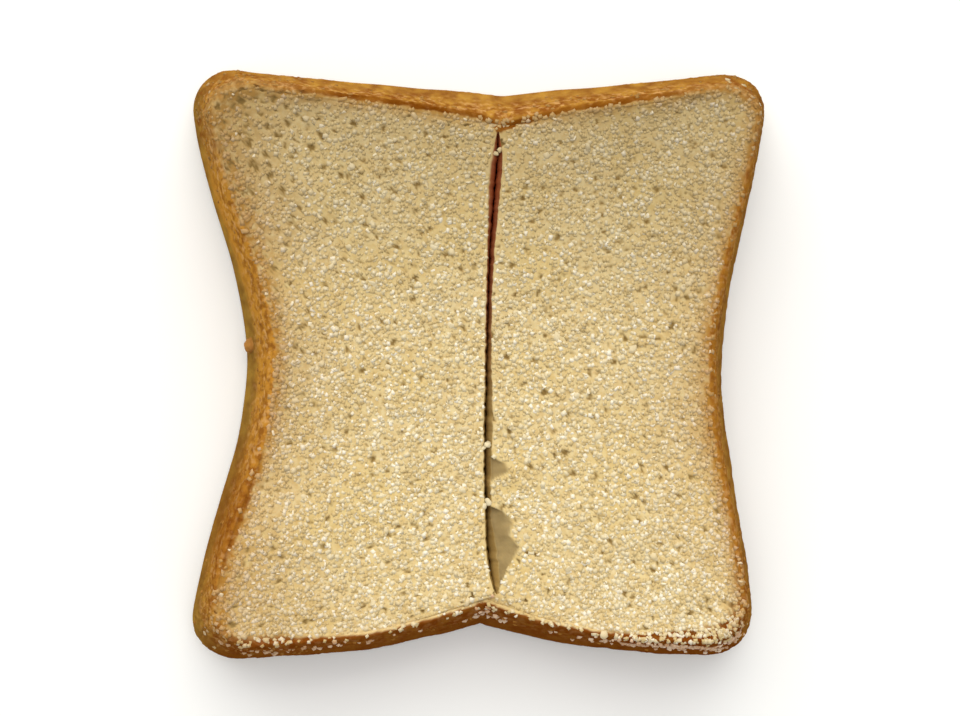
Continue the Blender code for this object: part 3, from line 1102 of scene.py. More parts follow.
@dataclass(frozen=True)
class CrustRelief:
    """The crust's wrinkles, and the pits along its rim."""

    waves: Lumps = Lumps(0.30 * MM, 3.2 * MM, 11.0, 0.7)
    wrinkles: Lumps = Lumps(0.28 * MM, 1.4 * MM, 13.0, 0.5)
    corner_wrinkles: float = 0.50 * MM  # how much higher the wrinkles are at the corners
    hollows: Lumps = Lumps(0.18 * MM, 6.0 * MM, 15.0, 0.5)
    foot_rise: float = 12.0  # the wrinkles are full above one part in this many of the wall
    pits: Lumps = Lumps(1.0, 1.7 * MM, 17.0)  # as shares of the depths below
    pits_reach: float = 1.2 * MM
    pits_from: tuple[float, float] = (0.9, 1.0)  # levels between which they start
    corner_pits: float = 0.25 * MM  # how much deeper they are at the corners
    pit_depths: dict[Side, float] = field(
        default_factory=lambda: {
            Side.FAR: 0.14 * MM,
            Side.NEAR: 0.30 * MM,
            Side.LEFT: 0.28 * MM,
            Side.RIGHT: 0.25 * MM,
        }
    )


@dataclass(frozen=True)
class LipRelief:
    """The jags of the slit's lips."""

    jags: tuple[Lumps, ...] = (Lumps(0.26 * MM, 1.5 * MM, 21.0), Lumps(0.156 * MM, 0.675 * MM, 23.0))
    right_lip_at: float = 0.05  # where the right lip's jags are read, so that they differ from the left's
    reach: float = 1.2 * MM  # how far onto the face they go
    lost_below: float = 0.6  # the share of them that is gone at the slit's floor
    ends_over: float = 0.12  # the share of the slit's half length over which they start at each end
    sway_reach: float = 3.0 * MM  # how far from the slit the face sways with it


@dataclass
class BreadSlice:
    """The bread itself: crumb, crust and slit in one closed surface."""

    MARKS: ClassVar[tuple[str, ...]] = (
        "crust",
        "cut_edge",
        "painted_line_shade",
        "dark",
        "painted_shade",
        "toasting",
        "pore",
        "slit",
        "slit_shade_far",
        "torn",
        "level",
        "granular",
    )

    form: SliceForm = field(default_factory=SliceForm)
    finish: BakedBreadFinish = field(default_factory=BakedBreadFinish)
    baking: Baking = field(default_factory=Baking)
    # Painted shade in these edges: the line's darkens the rim's inner side, most at the far end, and the
    # wall's darkens the near wall most
    edges: dict[Side, CrustEdge] = field(
        default_factory=lambda: {
            Side.FAR: CrustEdge(-0.10 * MM, 0.78 * MM, 1.00, 1.0, 0.62 * MM, 0.22, 0.00),
            Side.NEAR: CrustEdge(0.90 * MM, 0.60 * MM, 0.50, 0.8, 1.0 * MM, 0.77, 0.25),
            Side.LEFT: CrustEdge(-1.60 * MM, 2.10 * MM, 0.90, 0.15, 0.5 * MM, 0.02, 0.10),
            Side.RIGHT: CrustEdge(-0.30 * MM, 1.40 * MM, 0.85, 0.40, 0.9 * MM, 0.25, 0.20),
        }
    )
    points_round: int = 900
    rows: dict[Stretch, int] = field(
        default_factory=lambda: {
            Stretch.UNDERSIDE: 26,
            Stretch.WALL: 44,
            Stretch.CREST: 6,
            Stretch.FACE: 110,
            Stretch.SLIT: 9,
        }
    )
    underside_rows: tuple[float, float] = (0.02, 0.985)  # how far out the first and the last one lie
    slit_row_crowding: float = 1.6  # above 1, the slit's rows crowd towards its lips
    crumb: CrumbRelief = field(default_factory=CrumbRelief)
    crust: CrustRelief = field(default_factory=CrustRelief)
    lips: LipRelief = field(default_factory=LipRelief)
    kink_crust: float = 3.0 * MM  # how much further the crust reaches in at the far end of the slit
    kink_reach: tuple[float, float] = (1.8 * MM, 6.5 * MM)  # to the left and to the right
    # Places where the whole crust is browner
    dark_spots: tuple[Spot, ...] = (
        Spot(-0.049, -0.032, 0.014, 0.55),
        Spot(-0.056, 0.056, 0.014, 0.12),
        Spot(0.056, 0.054, 0.016, 0.20),
        Spot(0.045, -0.058, 0.020, 0.10),
    )
    # Corners where browned crumb shows through the crust, and the levels of the wall where it begins
    corner_crumb: tuple[Spot, ...] = (Spot(-0.055, 0.056, 0.013, 0.70), Spot(0.056, 0.055, 0.011, 0.50))
    corner_crumb_from: tuple[float, float] = (0.55, 0.95)
    open_crust: Spot = Spot(-0.056, 0.056, 0.014, 7.0 * MM)  # how far outwards the pores go on there
    # Places away from the corners where crust and crumb run together too
    merged_spots: tuple[Spot, ...] = (Spot(-0.046, 0.058, 0.010, 1.0),)
    granular_from: tuple[float, float] = (0.10, 0.80)  # levels of the wall over which its pits start
    # Places where the crust reaches further in
    reach_spots: tuple[Spot, ...] = (
        Spot(0.046, -0.057, 0.014, 2.8 * MM),
        Spot(-0.050, -0.030, 0.018, 1.5 * MM),
        Spot(-0.043, -0.056, 0.008, 1.2 * MM),
    )
    # How far the crust's inner edge and its caramelised line stray
    edge_stray: tuple[Lumps, ...] = (Lumps(0.45 * MM, 1.8 * MM, 31.0), Lumps(0.25 * MM, 0.8 * MM, 33.0))
    edge_blend: float = 0.35 * MM  # how softly crust changes into crumb
    corner_softness: float = 3.0  # how many times more softly yet at the corners
    foot_crust: tuple[float, float] = (0.965, 0.985)  # how far out the crust starts on the underside
    line_fade: tuple[float, float] = (0.6, 1.4)  # where the caramelised line fades, in its half widths
    line_lost: float = 0.85  # the share of it that is gone at the corners
    line_smooth: float = 0.9  # the share of the pits and flecks that a dark line hides
    underside_toasting: float = 0.75
    # how strongly a pore's depth darkens it, as painted shade
    pore_shade: float = 1.4
    lip_shade: float = 0.75  # how much of the slit's painted shade its walls have at the very lips
    slit_reddens: tuple[float, float] = (-0.012, 0.020)  # y between which the slit's painted shade turns reddish

    def build(self) -> bpy.types.Object:
        """Builds the slice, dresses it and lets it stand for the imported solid.

        Returns:
            The slice's object.
        """
        self.rim = Rim(self.form)
        self.pores = Pores(self.form)
        shares = np.arange(self.points_round) / self.points_round
        stretches, alongs, grid = self.grid(shares)
        self.points = (grid + self.form.stand).reshape(-1, 3)
        self.along = np.repeat(alongs, self.points_round)
        stretch = np.repeat(stretches, self.points_round)
        self.on = {kind: stretch == kind.value for kind in Stretch}
        self.from_rim = self.rim.away(self.points)
        self.inwards = np.where(self.on[Stretch.WALL], -self.from_rim, self.from_rim)
        self.roughen()
        mesh = bpy.data.meshes.new("bread")
        faces = self.quads(len(grid))
        mesh.from_pydata(self.points.tolist(), [], faces)
        mesh.validate()
        self.mark(mesh)
        mesh.shade_smooth()
        piece = placed("bread", mesh)
        mesh.materials.append(self.finish.make())
        self.surface = BVHTree.FromPolygons(self.points.tolist(), faces)
        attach(piece, BODY)
        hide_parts(NODE)
        LOG.info("bread: %d points, %d faces", len(self.points), len(faces))
        return piece

    def grid(self, shares: np.ndarray) -> tuple[np.ndarray, np.ndarray, np.ndarray]:
        """Lays the surface's rows, each one a closed loop round the slice.

        Args:
            shares: The places round each loop.

        Returns:
            Each row's stretch, how far along it the row lies, and the rows' points.
        """
        foot = self.form.wall(shares, 0.0)
        rows: list[tuple[Stretch, float, np.ndarray]] = []
        for reach in np.linspace(*self.underside_rows, self.rows[Stretch.UNDERSIDE]):
            x, y = foot[:, 0] * reach, foot[:, 1] * reach
            rows.append((Stretch.UNDERSIDE, reach, joined(x, y, self.form.underside(x, y))))
        for level in np.linspace(0.0, 1.0, self.rows[Stretch.WALL]):
            rows.append((Stretch.WALL, level, self.form.wall(shares, float(level))))
        for over in np.linspace(0.0, 1.0, self.rows[Stretch.CREST] + 2)[1:-1]:
            rows.append((Stretch.CREST, over, self.form.crest(shares, float(over))))
        for inwards in np.linspace(0.0, 1.0, self.rows[Stretch.FACE]):
            rows.append((Stretch.FACE, inwards, self.form.face(shares, float(inwards))))
        for down in np.linspace(0.0, 1.0, self.rows[Stretch.SLIT] + 1)[1:] ** self.slit_row_crowding:
            rows.append((Stretch.SLIT, down, self.form.slit(shares, float(down))))
        stretches = np.array([row[0].value for row in rows])
        alongs = np.array([row[1] for row in rows])
        return stretches, alongs, np.array([row[2] for row in rows])

    def quads(self, row_count: int) -> list[tuple[int, ...]]:
        """Joins the rows into faces, fills the underside's middle and sews the slit's floor shut.

        Args:
            row_count: How many rows there are.

        Returns:
            The corners of each face.
        """
        count = self.points_round
        here = np.arange(count)
        after = (here + 1) % count
        faces = [tuple(range(count))]
        for row in range(row_count - 1):
            low, high = row * count, (row + 1) * count
            faces += np.stack((low + after, low + here, high + here, high + after), axis=1).tolist()
        last = (row_count - 1) * count
        for i in range(count // 2):
            ring = [last + (count - i) % count, last + count - i - 1, last + i + 1, last + i]
            faces.append(tuple(dict.fromkeys(ring)))
        return faces

    def roughen(self) -> None:
        """Gives the smooth form its crumb, pores, wrinkles and jagged lips."""
        corner = self.merged()
        self.open_pores(corner)
        self.raise_crumb(corner)
        self.wrinkle_crust(corner)
        self.bend_lips()

    def open_pores(self, corner: np.ndarray) -> None:
        """Gives the crumb its bumps and pores.

        Args:
            corner: How far each point belongs to a corner.
        """
        crumb, face, crest = self.crumb, self.on[Stretch.FACE], self.on[Stretch.CREST]
        torn = self.form.torn(*self.form.plain(self.points))
        self.torn = np.where(face, np.minimum(1.0, torn / crumb.torn_depth), 0.0)
        starts = self.form.crust_thickness - crumb.corner_reach * corner - self.open_crust.at(self.points)
        inside = smooth_step(0.0, crumb.starts_over, self.inwards - starts) * (1.0 - self.torn)
        stray = joined(*(lump.at(self.points) for lump in self.pores.stray), 0.0)
        depth = self.pores.depth(self.points + stray)
        self.pore = np.where(face | crest | self.on[Stretch.WALL], depth, 0.0) * inside
        bumps = sum(lump.at(self.points) for lump in crumb.bumps)
        dent = bumps * inside - self.pore * crumb.pore_depth * self.pores.radius[1]
        self.points[:, 2] += np.where(face | crest, dent, 0.0)
        outer = self.on[Stretch.UNDERSIDE] & (self.along > crumb.underside_from)
        self.points[:, 2] += np.where(outer, np.maximum(0.0, bumps), 0.0)

    def raise_crumb(self, corner: np.ndarray) -> None:
        """Raises the crumb beside the crust until it is level with it.

        Args:
            corner: How far each point belongs to a corner.
        """
        crumb, over = self.crumb, self.along
        level = np.maximum(corner, self.form.by_side(self.points, crumb.level_with_crust))
        past = np.maximum(0.0, self.from_rim - self.form.crust_thickness)
        rise = np.where(self.on[Stretch.FACE], np.exp(-past / crumb.level_reach), 0.0)
        on_crest = over**2 - crumb.crest_sag * over * (1.0 - over)
        rise = np.where(self.on[Stretch.CREST], on_crest, rise)
        self.points[:, 2] += rise * self.form.crust_stands_proud * level

    def wrinkle_crust(self, corner: np.ndarray) -> None:
        """Wrinkles the crust, and pits it along its rim.

        Args:
            corner: How far each point belongs to a corner.
        """
        crust, wall = self.crust, self.on[Stretch.WALL]
        wrinkle = crust.waves.at(self.points)
        wrinkle += crust.wrinkles.at(self.points, crust.corner_wrinkles * corner)
        wrinkle = np.abs(wrinkle) + crust.hollows.height + crust.hollows.at(self.points)
        fade = np.where(wall, np.minimum(1.0, self.along * crust.foot_rise), 1.0 - self.along)
        inset = np.where(wall | self.on[Stretch.CREST], wrinkle * fade, 0.0)
        self.points[:, :2] *= (1.0 - inset / np.hypot(self.points[:, 0], self.points[:, 1]))[:, None]
        above = ~self.on[Stretch.SLIT] & ~self.on[Stretch.UNDERSIDE]
        at_rim = np.exp(-((self.from_rim / crust.pits_reach) ** 2)) * above
        high = np.where(wall, smooth_step(*crust.pits_from, self.along), 1.0)
        depth = self.form.by_side(self.points, crust.pit_depths) + crust.corner_pits * corner
        self.points[:, 2] -= depth * at_rim * high * np.abs(crust.pits.at(self.points))

    def bend_lips(self) -> None:
        """Sways the slit, draws its right lip back and jags both lips."""
        lips, face, slit = self.lips, self.on[Stretch.FACE], self.on[Stretch.SLIT]
        x, y = self.form.plain(self.points)
        beside = x - self.form.slit_centre(y)
        jagged = np.where(face, np.exp(-np.abs(beside) / lips.reach), 0.0)
        jagged = np.where(slit, 1.0 - lips.lost_below * self.along, jagged)
        line = joined(np.where(beside > 0, lips.right_lip_at, 0.0), y, 0.0)
        jag = sum(lump.at(line) for lump in lips.jags)
        ends = smooth_step(0.0, lips.ends_over, 1.0 - np.abs(y) / self.form.slit_half_length)
        swayed = np.where(face, np.exp(-np.abs(beside) / lips.sway_reach), np.where(slit, 1.0, 0.0))
        open_share = np.interp(self.along, self.form.slit_closes_at, self.form.slit_gap_left)
        back = self.form.right_lip_back(y) * swayed * np.where(slit, open_share, 1.0)
        self.points[:, 0] += jag * jagged * ends + self.form.slit_sway(y) * swayed
        self.points[:, 0] += np.where(beside > 0, back, 0.0)

    def merged(self) -> np.ndarray:
        """Gives 1 where crust and crumb run together, as at the corners, and 0 where they do not."""
        corner = self.form.cornerness(self.points)
        return np.clip(corner + total(self.merged_spots, self.points), 0.0, 1.0)

    def edge_value(self, name: str, places: np.ndarray) -> np.ndarray:
        """Blends one value of the four sides' crust edges over the places."""
        return self.form.by_side(places, {side: getattr(edge, name) for side, edge in self.edges.items()})

    def hits(self, rays: Iterable[tuple[Vector, Vector]], least: float) -> tuple[np.ndarray, np.ndarray]:
        """Finds where rays meet the slice.

        Args:
            rays: Where each one starts, and its direction.
            least: How squarely the surface has to face a ray for its place to count, up to 1.

        Returns:
            The places and the surface's direction at each.
        """
        places, normals = [], []
        for start, direction in rays:
            place, normal, _, _ = self.surface.ray_cast(start, direction)
            if place is not None and -normal.dot(direction) > least:
                places.append(place[:])
                normals.append(normal[:])
        return np.array(places), np.array(normals)

    def mark(self, mesh: bpy.types.Mesh) -> None:
        """Stores on the mesh what its finish needs to know of each point.

        Args:
            mesh: The slice's mesh.
        """
        face, wall, under = self.on[Stretch.FACE], self.on[Stretch.WALL], self.on[Stretch.UNDERSIDE]
        crest, slit = self.on[Stretch.CREST], self.on[Stretch.SLIT]
        x, y = self.form.plain(self.points)
        corner = self.merged()
        edge = {
            name: self.edge_value(name, self.points)
            for name in ("line", "line_half_width", "line_strength", "line_shade", "ends", "dark")
        }

        beside = x - self.form.slit_centre(y)
        kink = self.kink_crust * np.exp(-np.abs(beside) / np.where(beside < 0, *self.kink_reach))
        kink = np.where(y > 0, kink, 0.0) + total(self.reach_spots, self.points)
        inwards = self.inwards + sum(lump.at(self.points) for lump in self.edge_stray)
        blend = self.edge_blend * (1.0 + self.corner_softness * corner)
        past_crust = (inwards - edge["ends"] - kink) / blend
        granular = np.where(wall, smooth_step(*self.granular_from, self.along), np.where(under, 0.0, 1.0))
        crust = np.where(face | crest, 1.0 - smooth_step(-1.0, 1.0, past_crust), 0.0)
        crust = np.where(wall, 1.0, crust)
        at_top = np.where(wall, smooth_step(*self.corner_crumb_from, self.along), 1.0)
        crust = crust * (1.0 - total(self.corner_crumb, self.points) * at_top)
        crust = np.where(under, smooth_step(*self.foot_crust, self.along), crust)
        off_line = np.abs(inwards - edge["line"] - kink) / edge["line_half_width"]
        line = (1.0 - smooth_step(*self.line_fade, off_line)) * edge["line_strength"]
        smooth = self.line_smooth * line * edge["line_shade"] * (1.0 - corner)
        toasting = self.baking.at(self.points, self.from_rim, self.form)
        marks = {
            "crust": crust,
            "cut_edge": np.where(under, 0.0, line * (1.0 - self.line_lost * corner)),
            # how much painted shade each side's line takes
            "painted_line_shade": edge["line_shade"],
            # the wall's darkness by side, painted shade on the near wall, and the dark spots
            "dark": edge["dark"] + total(self.dark_spots, self.points),
            # painted shade, deepest towards the far rim
            "painted_shade": self.baking.painted_shade(self.points),
            "toasting": np.where(under, self.underside_toasting, toasting),
            # painted shade in the pores
            "pore": np.clip(self.pore_shade * self.pore, 0.0, 1.0),
            # painted shade down the slit's walls
            "slit": np.where(slit, np.minimum(1.0, self.lip_shade + self.along), 0.0),
            "slit_shade_far": smooth_step(*self.slit_reddens, y),
            "torn": self.torn,
            "level": np.where(wall, self.along, np.where(under, 0.0, 1.0)),
            "granular": granular * (1.0 - smooth),
        }
        for name in self.MARKS:
            layer = mesh.attributes.new(name, "FLOAT", "POINT")
            layer.data.foreach_set("value", marks[name].astype(np.float32))


@dataclass(frozen=True)
class SugarCover:
    """How thickly sugar lies over the top face."""

    base: float = 0.80
    drift: Lumps = Lumps(0.22, 9 * MM, 41.0, 0.0)  # of the share, so that it thins and thickens
    starts: tuple[float, float] = (-0.3 * MM, 0.5 * MM)  # from the crust's inner edge
    deepest_tear: float = 0.05 * MM  # in which grains still lie
    lip_clearance: float = 0.25 * MM
    pore_clearance: float = 0.12 * MM
    spots: tuple[Spot, ...] = (
        Spot(0.041, -0.047, 0.018, 0.40),
        Spot(0.027, -0.052, 0.009, 0.30),
        Spot(-0.043, -0.051, 0.009, 0.30),
        Spot(0.043, 0.025, 0.010, 0.20),
        Spot(0.027, 0.046, 0.010, 0.20),
        Spot(-0.051, 0.050, 0.015, -0.30),
        Spot(-0.046, 0.020, 0.008, -0.30),
    )
    # Places where the crust too is sugared
    over_crust: tuple[Spot, ...] = (
        Spot(-0.055, 0.057, 0.012, 0.90),
        Spot(0.056, 0.056, 0.012, 0.70),
        Spot(0.056, -0.054, 0.011, 1.00),
        Spot(0.036, -0.057, 0.014, 0.60),
        Spot(-0.055, -0.055, 0.010, 0.50),
    )

    def at(self, places: np.ndarray, bread: BreadSlice) -> np.ndarray:
        """Gives the share of places that hold a grain.

        Args:
            places: The places, one a row.
            bread: The slice.

        Returns:
            A share for each place.
        """
        form = bread.form
        x, y = form.plain(places)
        share = self.base + self.drift.at(places) + total(self.spots, places)
        past_crust = bread.rim.away(places) - bread.edge_value("ends", places)
        past_crust = past_crust - total(bread.reach_spots, places)
        sugared = bread.edge_value("sugared", places) + total(self.over_crust, places)
        sugared = np.minimum(1.0, sugared)
        share = share * (sugared + (1.0 - sugared) * smooth_step(*self.starts, past_crust))
        in_pore = bread.pores.depth(places, self.pore_clearance) > 0.0
        share = share * (form.torn(x, y) < self.deepest_tear) * ~in_pore
        beside = x - form.slit_middle(y)
        gap = form.slit_gap(y) + np.where(beside > 0, form.right_lip_back(y), 0.0)
        in_slit = np.abs(beside) < gap + self.lip_clearance
        return np.where(in_slit & (np.abs(y) < form.slit_half_length), 0.0, share)


def crystal_template(chamfer: float) -> tuple[np.ndarray, list[tuple[int, ...]]]:
    """Makes the block that every grain is stretched from.

    Args:
        chamfer: How much its edges are cut off, as a share of its side, or 0.

    Returns:
        Its points, one a row, and the corners of each face.
    """
    shape = bmesh.new()
    bmesh.ops.create_cube(shape, size=1.0)
    if chamfer:
        bmesh.ops.bevel(shape, geom=shape.edges[:], offset=chamfer, segments=1, affect="EDGES")
    shape.verts.index_update()
    points = np.array([v.co[:] for v in shape.verts])
    faces = [tuple(v.index for v in f.verts) for f in shape.faces]
    shape.free()
    return points, faces


def settled(normals: np.ndarray, tilt: float, rng: np.random.Generator) -> np.ndarray:
    """Makes rotations that lay things on a surface, spun at random and tilted a little.

    Args:
        normals: The surface's direction at each.
        tilt: How far they are tilted: 0 lies flat, and well over 1 points any way.
        rng: The seeded source of chance.

    Returns:
        The rotation matrices.
    """
    up = normals + rng.normal(scale=tilt, size=normals.shape)
    up /= np.linalg.norm(up, axis=1, keepdims=True)
    along = rng.normal(size=normals.shape)
    along -= up * np.sum(along * up, axis=1, keepdims=True)
    along /= np.linalg.norm(along, axis=1, keepdims=True)
    return np.stack((along, np.cross(up, along), up), axis=2)


@dataclass
class SugarGrains:
    """One kind of sugar grain, scattered on the slice and joined into one mesh."""

    name: str
    finish: SugarFinish
    size: tuple[float, float]
    seed: int
    chamfer: float = 0.0
    shape: tuple[float, float, float] = (1.0, 0.85, 0.38)
    tilt: float = 0.07
    sunk: float = 0.13  # how far a grain's middle lies under the surface, as a share of its size
    uneven: float = 0.24
    uneven_height: float = 0.3  # how much of that unevenness its top and bottom have
    proportions: tuple[float, float] = (0.8, 1.2)  # how short and how long its sides may come out

    def lay(self, places: np.ndarray, normals: np.ndarray, bread: BreadSlice) -> bpy.types.Object:
        """Lays a grain at every place.

        Args:
            places: The places, one a row.
            normals: The surface's direction at each.
            bread: The slice that they lie on.

        Returns:
            The grains' object.
        """
        rng = np.random.default_rng(self.seed)
        points, faces = crystal_template(self.chamfer)
        count = len(places)
        sizes = rng.uniform(*self.size, count)
        sides = sizes[:, None] * np.array(self.shape) * rng.uniform(*self.proportions, (count, 3))
        grains = points[None] * sides[:, None]
        skew = rng.uniform(-0.5, 0.5, grains.shape) * self.uneven * sizes[:, None, None]
        grains = grains + skew * (1.0, 1.0, self.uneven_height)
        grains = np.einsum("nij,nvj->nvi", settled(normals, self.tilt, rng), grains)
        grains += (places - normals * (sizes * self.sunk)[:, None])[:, None]
        mesh = self.mesh(grains, faces)
        brown = bread.baking.at(places, bread.rim.away(places), bread.form)
        # the grains' toasting, and their painted shade towards the far rim
        for name, values in (("toasting", brown), ("painted_shade", bread.baking.painted_shade(places))):
            layer = mesh.attributes.new(name, "FLOAT", "POINT")
            layer.data.foreach_set("value", np.repeat(values, len(points)).astype(np.float32))
        mesh.materials.append(self.finish.make())
        piece = placed(self.name, mesh)
        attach(piece, BODY)
        LOG.info("%s: %d grains", self.name, count)
        return piece

    def mesh(self, grains: np.ndarray, faces: list[tuple[int, ...]]) -> bpy.types.Mesh:
        """Joins the grains into one mesh.

        Args:
            grains: The points of each grain.
            faces: The corners of a grain's faces.

        Returns:
            The mesh.
        """
        count, points_each = grains.shape[:2]
        corners = np.concatenate([np.array(f) for f in faces])
        lengths = np.array([len(f) for f in faces])
        all_corners = corners[None] + points_each * np.arange(count)[:, None]
        starts = np.concatenate(([0], np.cumsum(np.tile(lengths, count))[:-1]))
        mesh = bpy.data.meshes.new(self.name)
        mesh.vertices.add(count * points_each)
        mesh.vertices.foreach_set("co", grains.astype(np.float32).ravel())
        mesh.loops.add(all_corners.size)
        mesh.loops.foreach_set("vertex_index", all_corners.astype(np.int32).ravel())
        mesh.polygons.add(len(starts))
        mesh.polygons.foreach_set("loop_start", starts.astype(np.int32))
        mesh.update(calc_edges=True)
        mesh.validate()
        return mesh


@dataclass(frozen=True)
class WallCluster:
    """Sugar that fell over the near rim and stuck to the wall there."""

    x: float
    spread: float
    count: int


@dataclass(frozen=True)
class Scatter:
    """How one kind of grain is spread over the top face, on an uneven triangular grid."""

    pitch: float
    share: float  # how much of it is kept where the cover is full
    near_bias: float  # how much more of it is kept at the near side than at the far side
    seed: int


@dataclass
class SugarTopping:
    """All the sugar: soaked, creamy and pale grains, dry and coarse crystals, and what the crust holds."""

    bread: BreadSlice
    cover: SugarCover = field(default_factory=SugarCover)
    steepest: float = 0.55  # least upward share of the surface's direction where grains stay
    lowest: float = 0.6  # least height of the top face's grains, as a share of the slit's lips'
    spread_reach: float = 1.02  # how far out grains are spread, as a share of the slice's half length
    spread_jitter: float = 0.45
    coarse_pitch: float = 7.4 * MM
    coarse_jitter: float = 0.34
    coarse_seed: int = 20
    coarse_slit_clearance: float = 2.6 * MM
    lip_pitch: float = 1.3 * MM
    lip_share: float = 0.25
    lip_ends: float = 0.95  # where the row on the lip ends, as a share of the slit's half length
    lip_jitter: float = 0.4
    lip_inset: tuple[float, float] = (0.25 * MM, 0.55 * MM)
    lip_seed: int = 61
    bridges: tuple[float, ...] = (0.0425, -0.0169, -0.0285)  # y of crystals wedged across the slit
    # Where the two crystals of a bridge lie from its middle, and how far under the lips
    bridge_pair: tuple[tuple[float, float], ...] = ((-0.45 * MM, -0.35 * MM), (0.35 * MM, 0.45 * MM))
    bridge_sunk: float = 0.1 * MM
    facing: float = 0.5  # how squarely the wall has to face outwards where grains stick
    clusters: tuple[WallCluster, ...] = (
        WallCluster(-0.040, 0.008, 34),
        WallCluster(-0.021, 0.005, 8),
        WallCluster(0.001, 0.0024, 60),
        WallCluster(0.022, 0.007, 20),
        WallCluster(0.038, 0.007, 120),
        WallCluster(0.051, 0.006, 120),
    )
    wall_top: float = 1.12  # how high they are thrown at most, as a share of the rim's height
    wall_span: float = 0.60  # and how far below that at most
    wall_crowding: float = 2.4  # above 1, they crowd towards the top
    wall_seed: int = 62
    speck_count: int = 2600  # sugar baked onto the crust all round
    speck_span: float = 0.7  # how far below the corners' height it sticks, as a share of that
    speck_crowding: float = 1.5
    speck_seed: int = 63
    speck_corners: tuple[Spot, ...] = (
        Spot(-0.055, 0.056, 0.014, 1.0),
        Spot(0.056, 0.055, 0.012, 0.6),
        Spot(0.056, -0.055, 0.012, 0.6),
        Spot(-0.055, -0.055, 0.012, 0.5),
    )
    speck_share: float = 0.16  # of the specks that stay away from those corners

    def spread(self, scatter: Scatter) -> tuple[np.ndarray, np.ndarray]:
        """Spreads places over the top face.

        Args:
            scatter: How they are spread.

        Returns:
            The places and the surface's direction at each.
        """
        rng, pitch = np.random.default_rng(scatter.seed), scatter.pitch
        reach = self.spread_reach * self.bread.form.half_length
        columns, rows = int(2 * reach / pitch), int(2 * reach / (pitch * HEX_ROW))
        column, row = np.meshgrid(np.arange(columns), np.arange(rows))
        drift = rng.uniform(-self.spread_jitter, self.spread_jitter, (2, rows, columns))
        x = (column + 0.5 * (row % 2) + drift[0]) * pitch - reach
        y = (row + drift[1]) * pitch * HEX_ROW - reach
        places, normals = self.drop(np.stack((x.ravel(), y.ravel()), axis=1))
        nearness = 1.0 - scatter.near_bias * places[:, 1] / self.bread.form.half_length
        share = scatter.share * nearness * self.cover.at(places, self.bread)
        keep = rng.random(len(places)) < share
        return places[keep], normals[keep]

    def drop(self, spots: np.ndarray) -> tuple[np.ndarray, np.ndarray]:
        """Drops spots straight down onto the slice.

        Args:
            spots: The x and y of each.

        Returns:
            Where they land on the top face, and the surface's direction there.
        """
        rays = ((Vector((x, y, OUTSIDE)), Vector((0, 0, -1))) for x, y in spots)
        places, normals = self.bread.hits(rays, self.steepest)
        high = places[:, 2] > self.lowest * self.bread.form.lip_height
        return places[high], normals[high]

    def coarse_places(self) -> tuple[np.ndarray, np.ndarray]:
        """Gives the coarse crystals' places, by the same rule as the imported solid's.

        Returns:
            The places and the surface's direction at each.
        """
        form, pitch, jitter = self.bread.form, self.coarse_pitch, self.coarse_jitter
        draw = random.Random(self.coarse_seed)
        spots = []
        for row in range(int(2 * form.half_length / (pitch * HEX_ROW)) + 1):
            for column in range(int(2 * form.half_width / pitch) + 1):
                spare_x, spare_y = (draw.uniform(-jitter, jitter) for _ in range(2))
                x = (column + 0.5 * (row % 2) + spare_x) * pitch - form.half_width
                y = (row + 0.5 + spare_y) * pitch * HEX_ROW - form.half_length
                if abs(x - form.slit_centre(y) - form.stand[0]) >= self.coarse_slit_clearance:
                    spots.append((x, y))
        return self.drop(np.array(spots))

    def lip_places(self) -> tuple[np.ndarray, np.ndarray]:
        """Gives places for pale crystals in a row on the slit's left lip.

        Returns:
            The places and the surface's direction at each.
        """
        form = self.bread.form
        rng = np.random.default_rng(self.lip_seed)
        y = np.arange(-self.lip_ends, self.lip_ends, self.lip_pitch / form.slit_half_length)
        y = y * form.slit_half_length
        y = y + rng.uniform(-self.lip_jitter, self.lip_jitter, len(y)) * self.lip_pitch
        x = form.slit_middle(y) - form.slit_gap(y) - rng.uniform(*self.lip_inset, len(y))
        return self.drop(np.stack((x, y), axis=1)[rng.random(len(y)) < self.lip_share] + form.stand[:2])

    def bridge_places(self) -> tuple[np.ndarray, np.ndarray]:
        """Gives places for the crystals wedged across the slit, level with its lips.

        Returns:
            The places, and straight up as the direction of each.
        """
        form = self.bread.form
        pair = np.tile(self.bridge_pair, (len(self.bridges), 1))
        y = np.repeat(self.bridges, len(self.bridge_pair)) + pair[:, 1]
        x = form.slit_middle(y) + pair[:, 0]
        places = joined(x, y, form.lip(y) - self.bridge_sunk) + form.stand
        return places, np.tile((0.0, 0.0, 1.0), (len(places), 1))

    def wall_places(self) -> tuple[np.ndarray, np.ndarray]:
        """Gives places on the near wall, thickest near its rim.

        Returns:
            The places and the surface's direction at each.
        """
        rng = np.random.default_rng(self.wall_seed)
        rays = []
        for cluster in self.clusters:
            for _ in range(cluster.count):
                x = rng.normal(cluster.x, cluster.spread)
                share = self.wall_top - self.wall_span * rng.random() ** self.wall_crowding
                start = Vector((x, -OUTSIDE, self.bread.form.rim_side_height * share))
                rays.append((start, Vector((0, 1, 0))))
        return self.bread.hits(rays, self.facing)

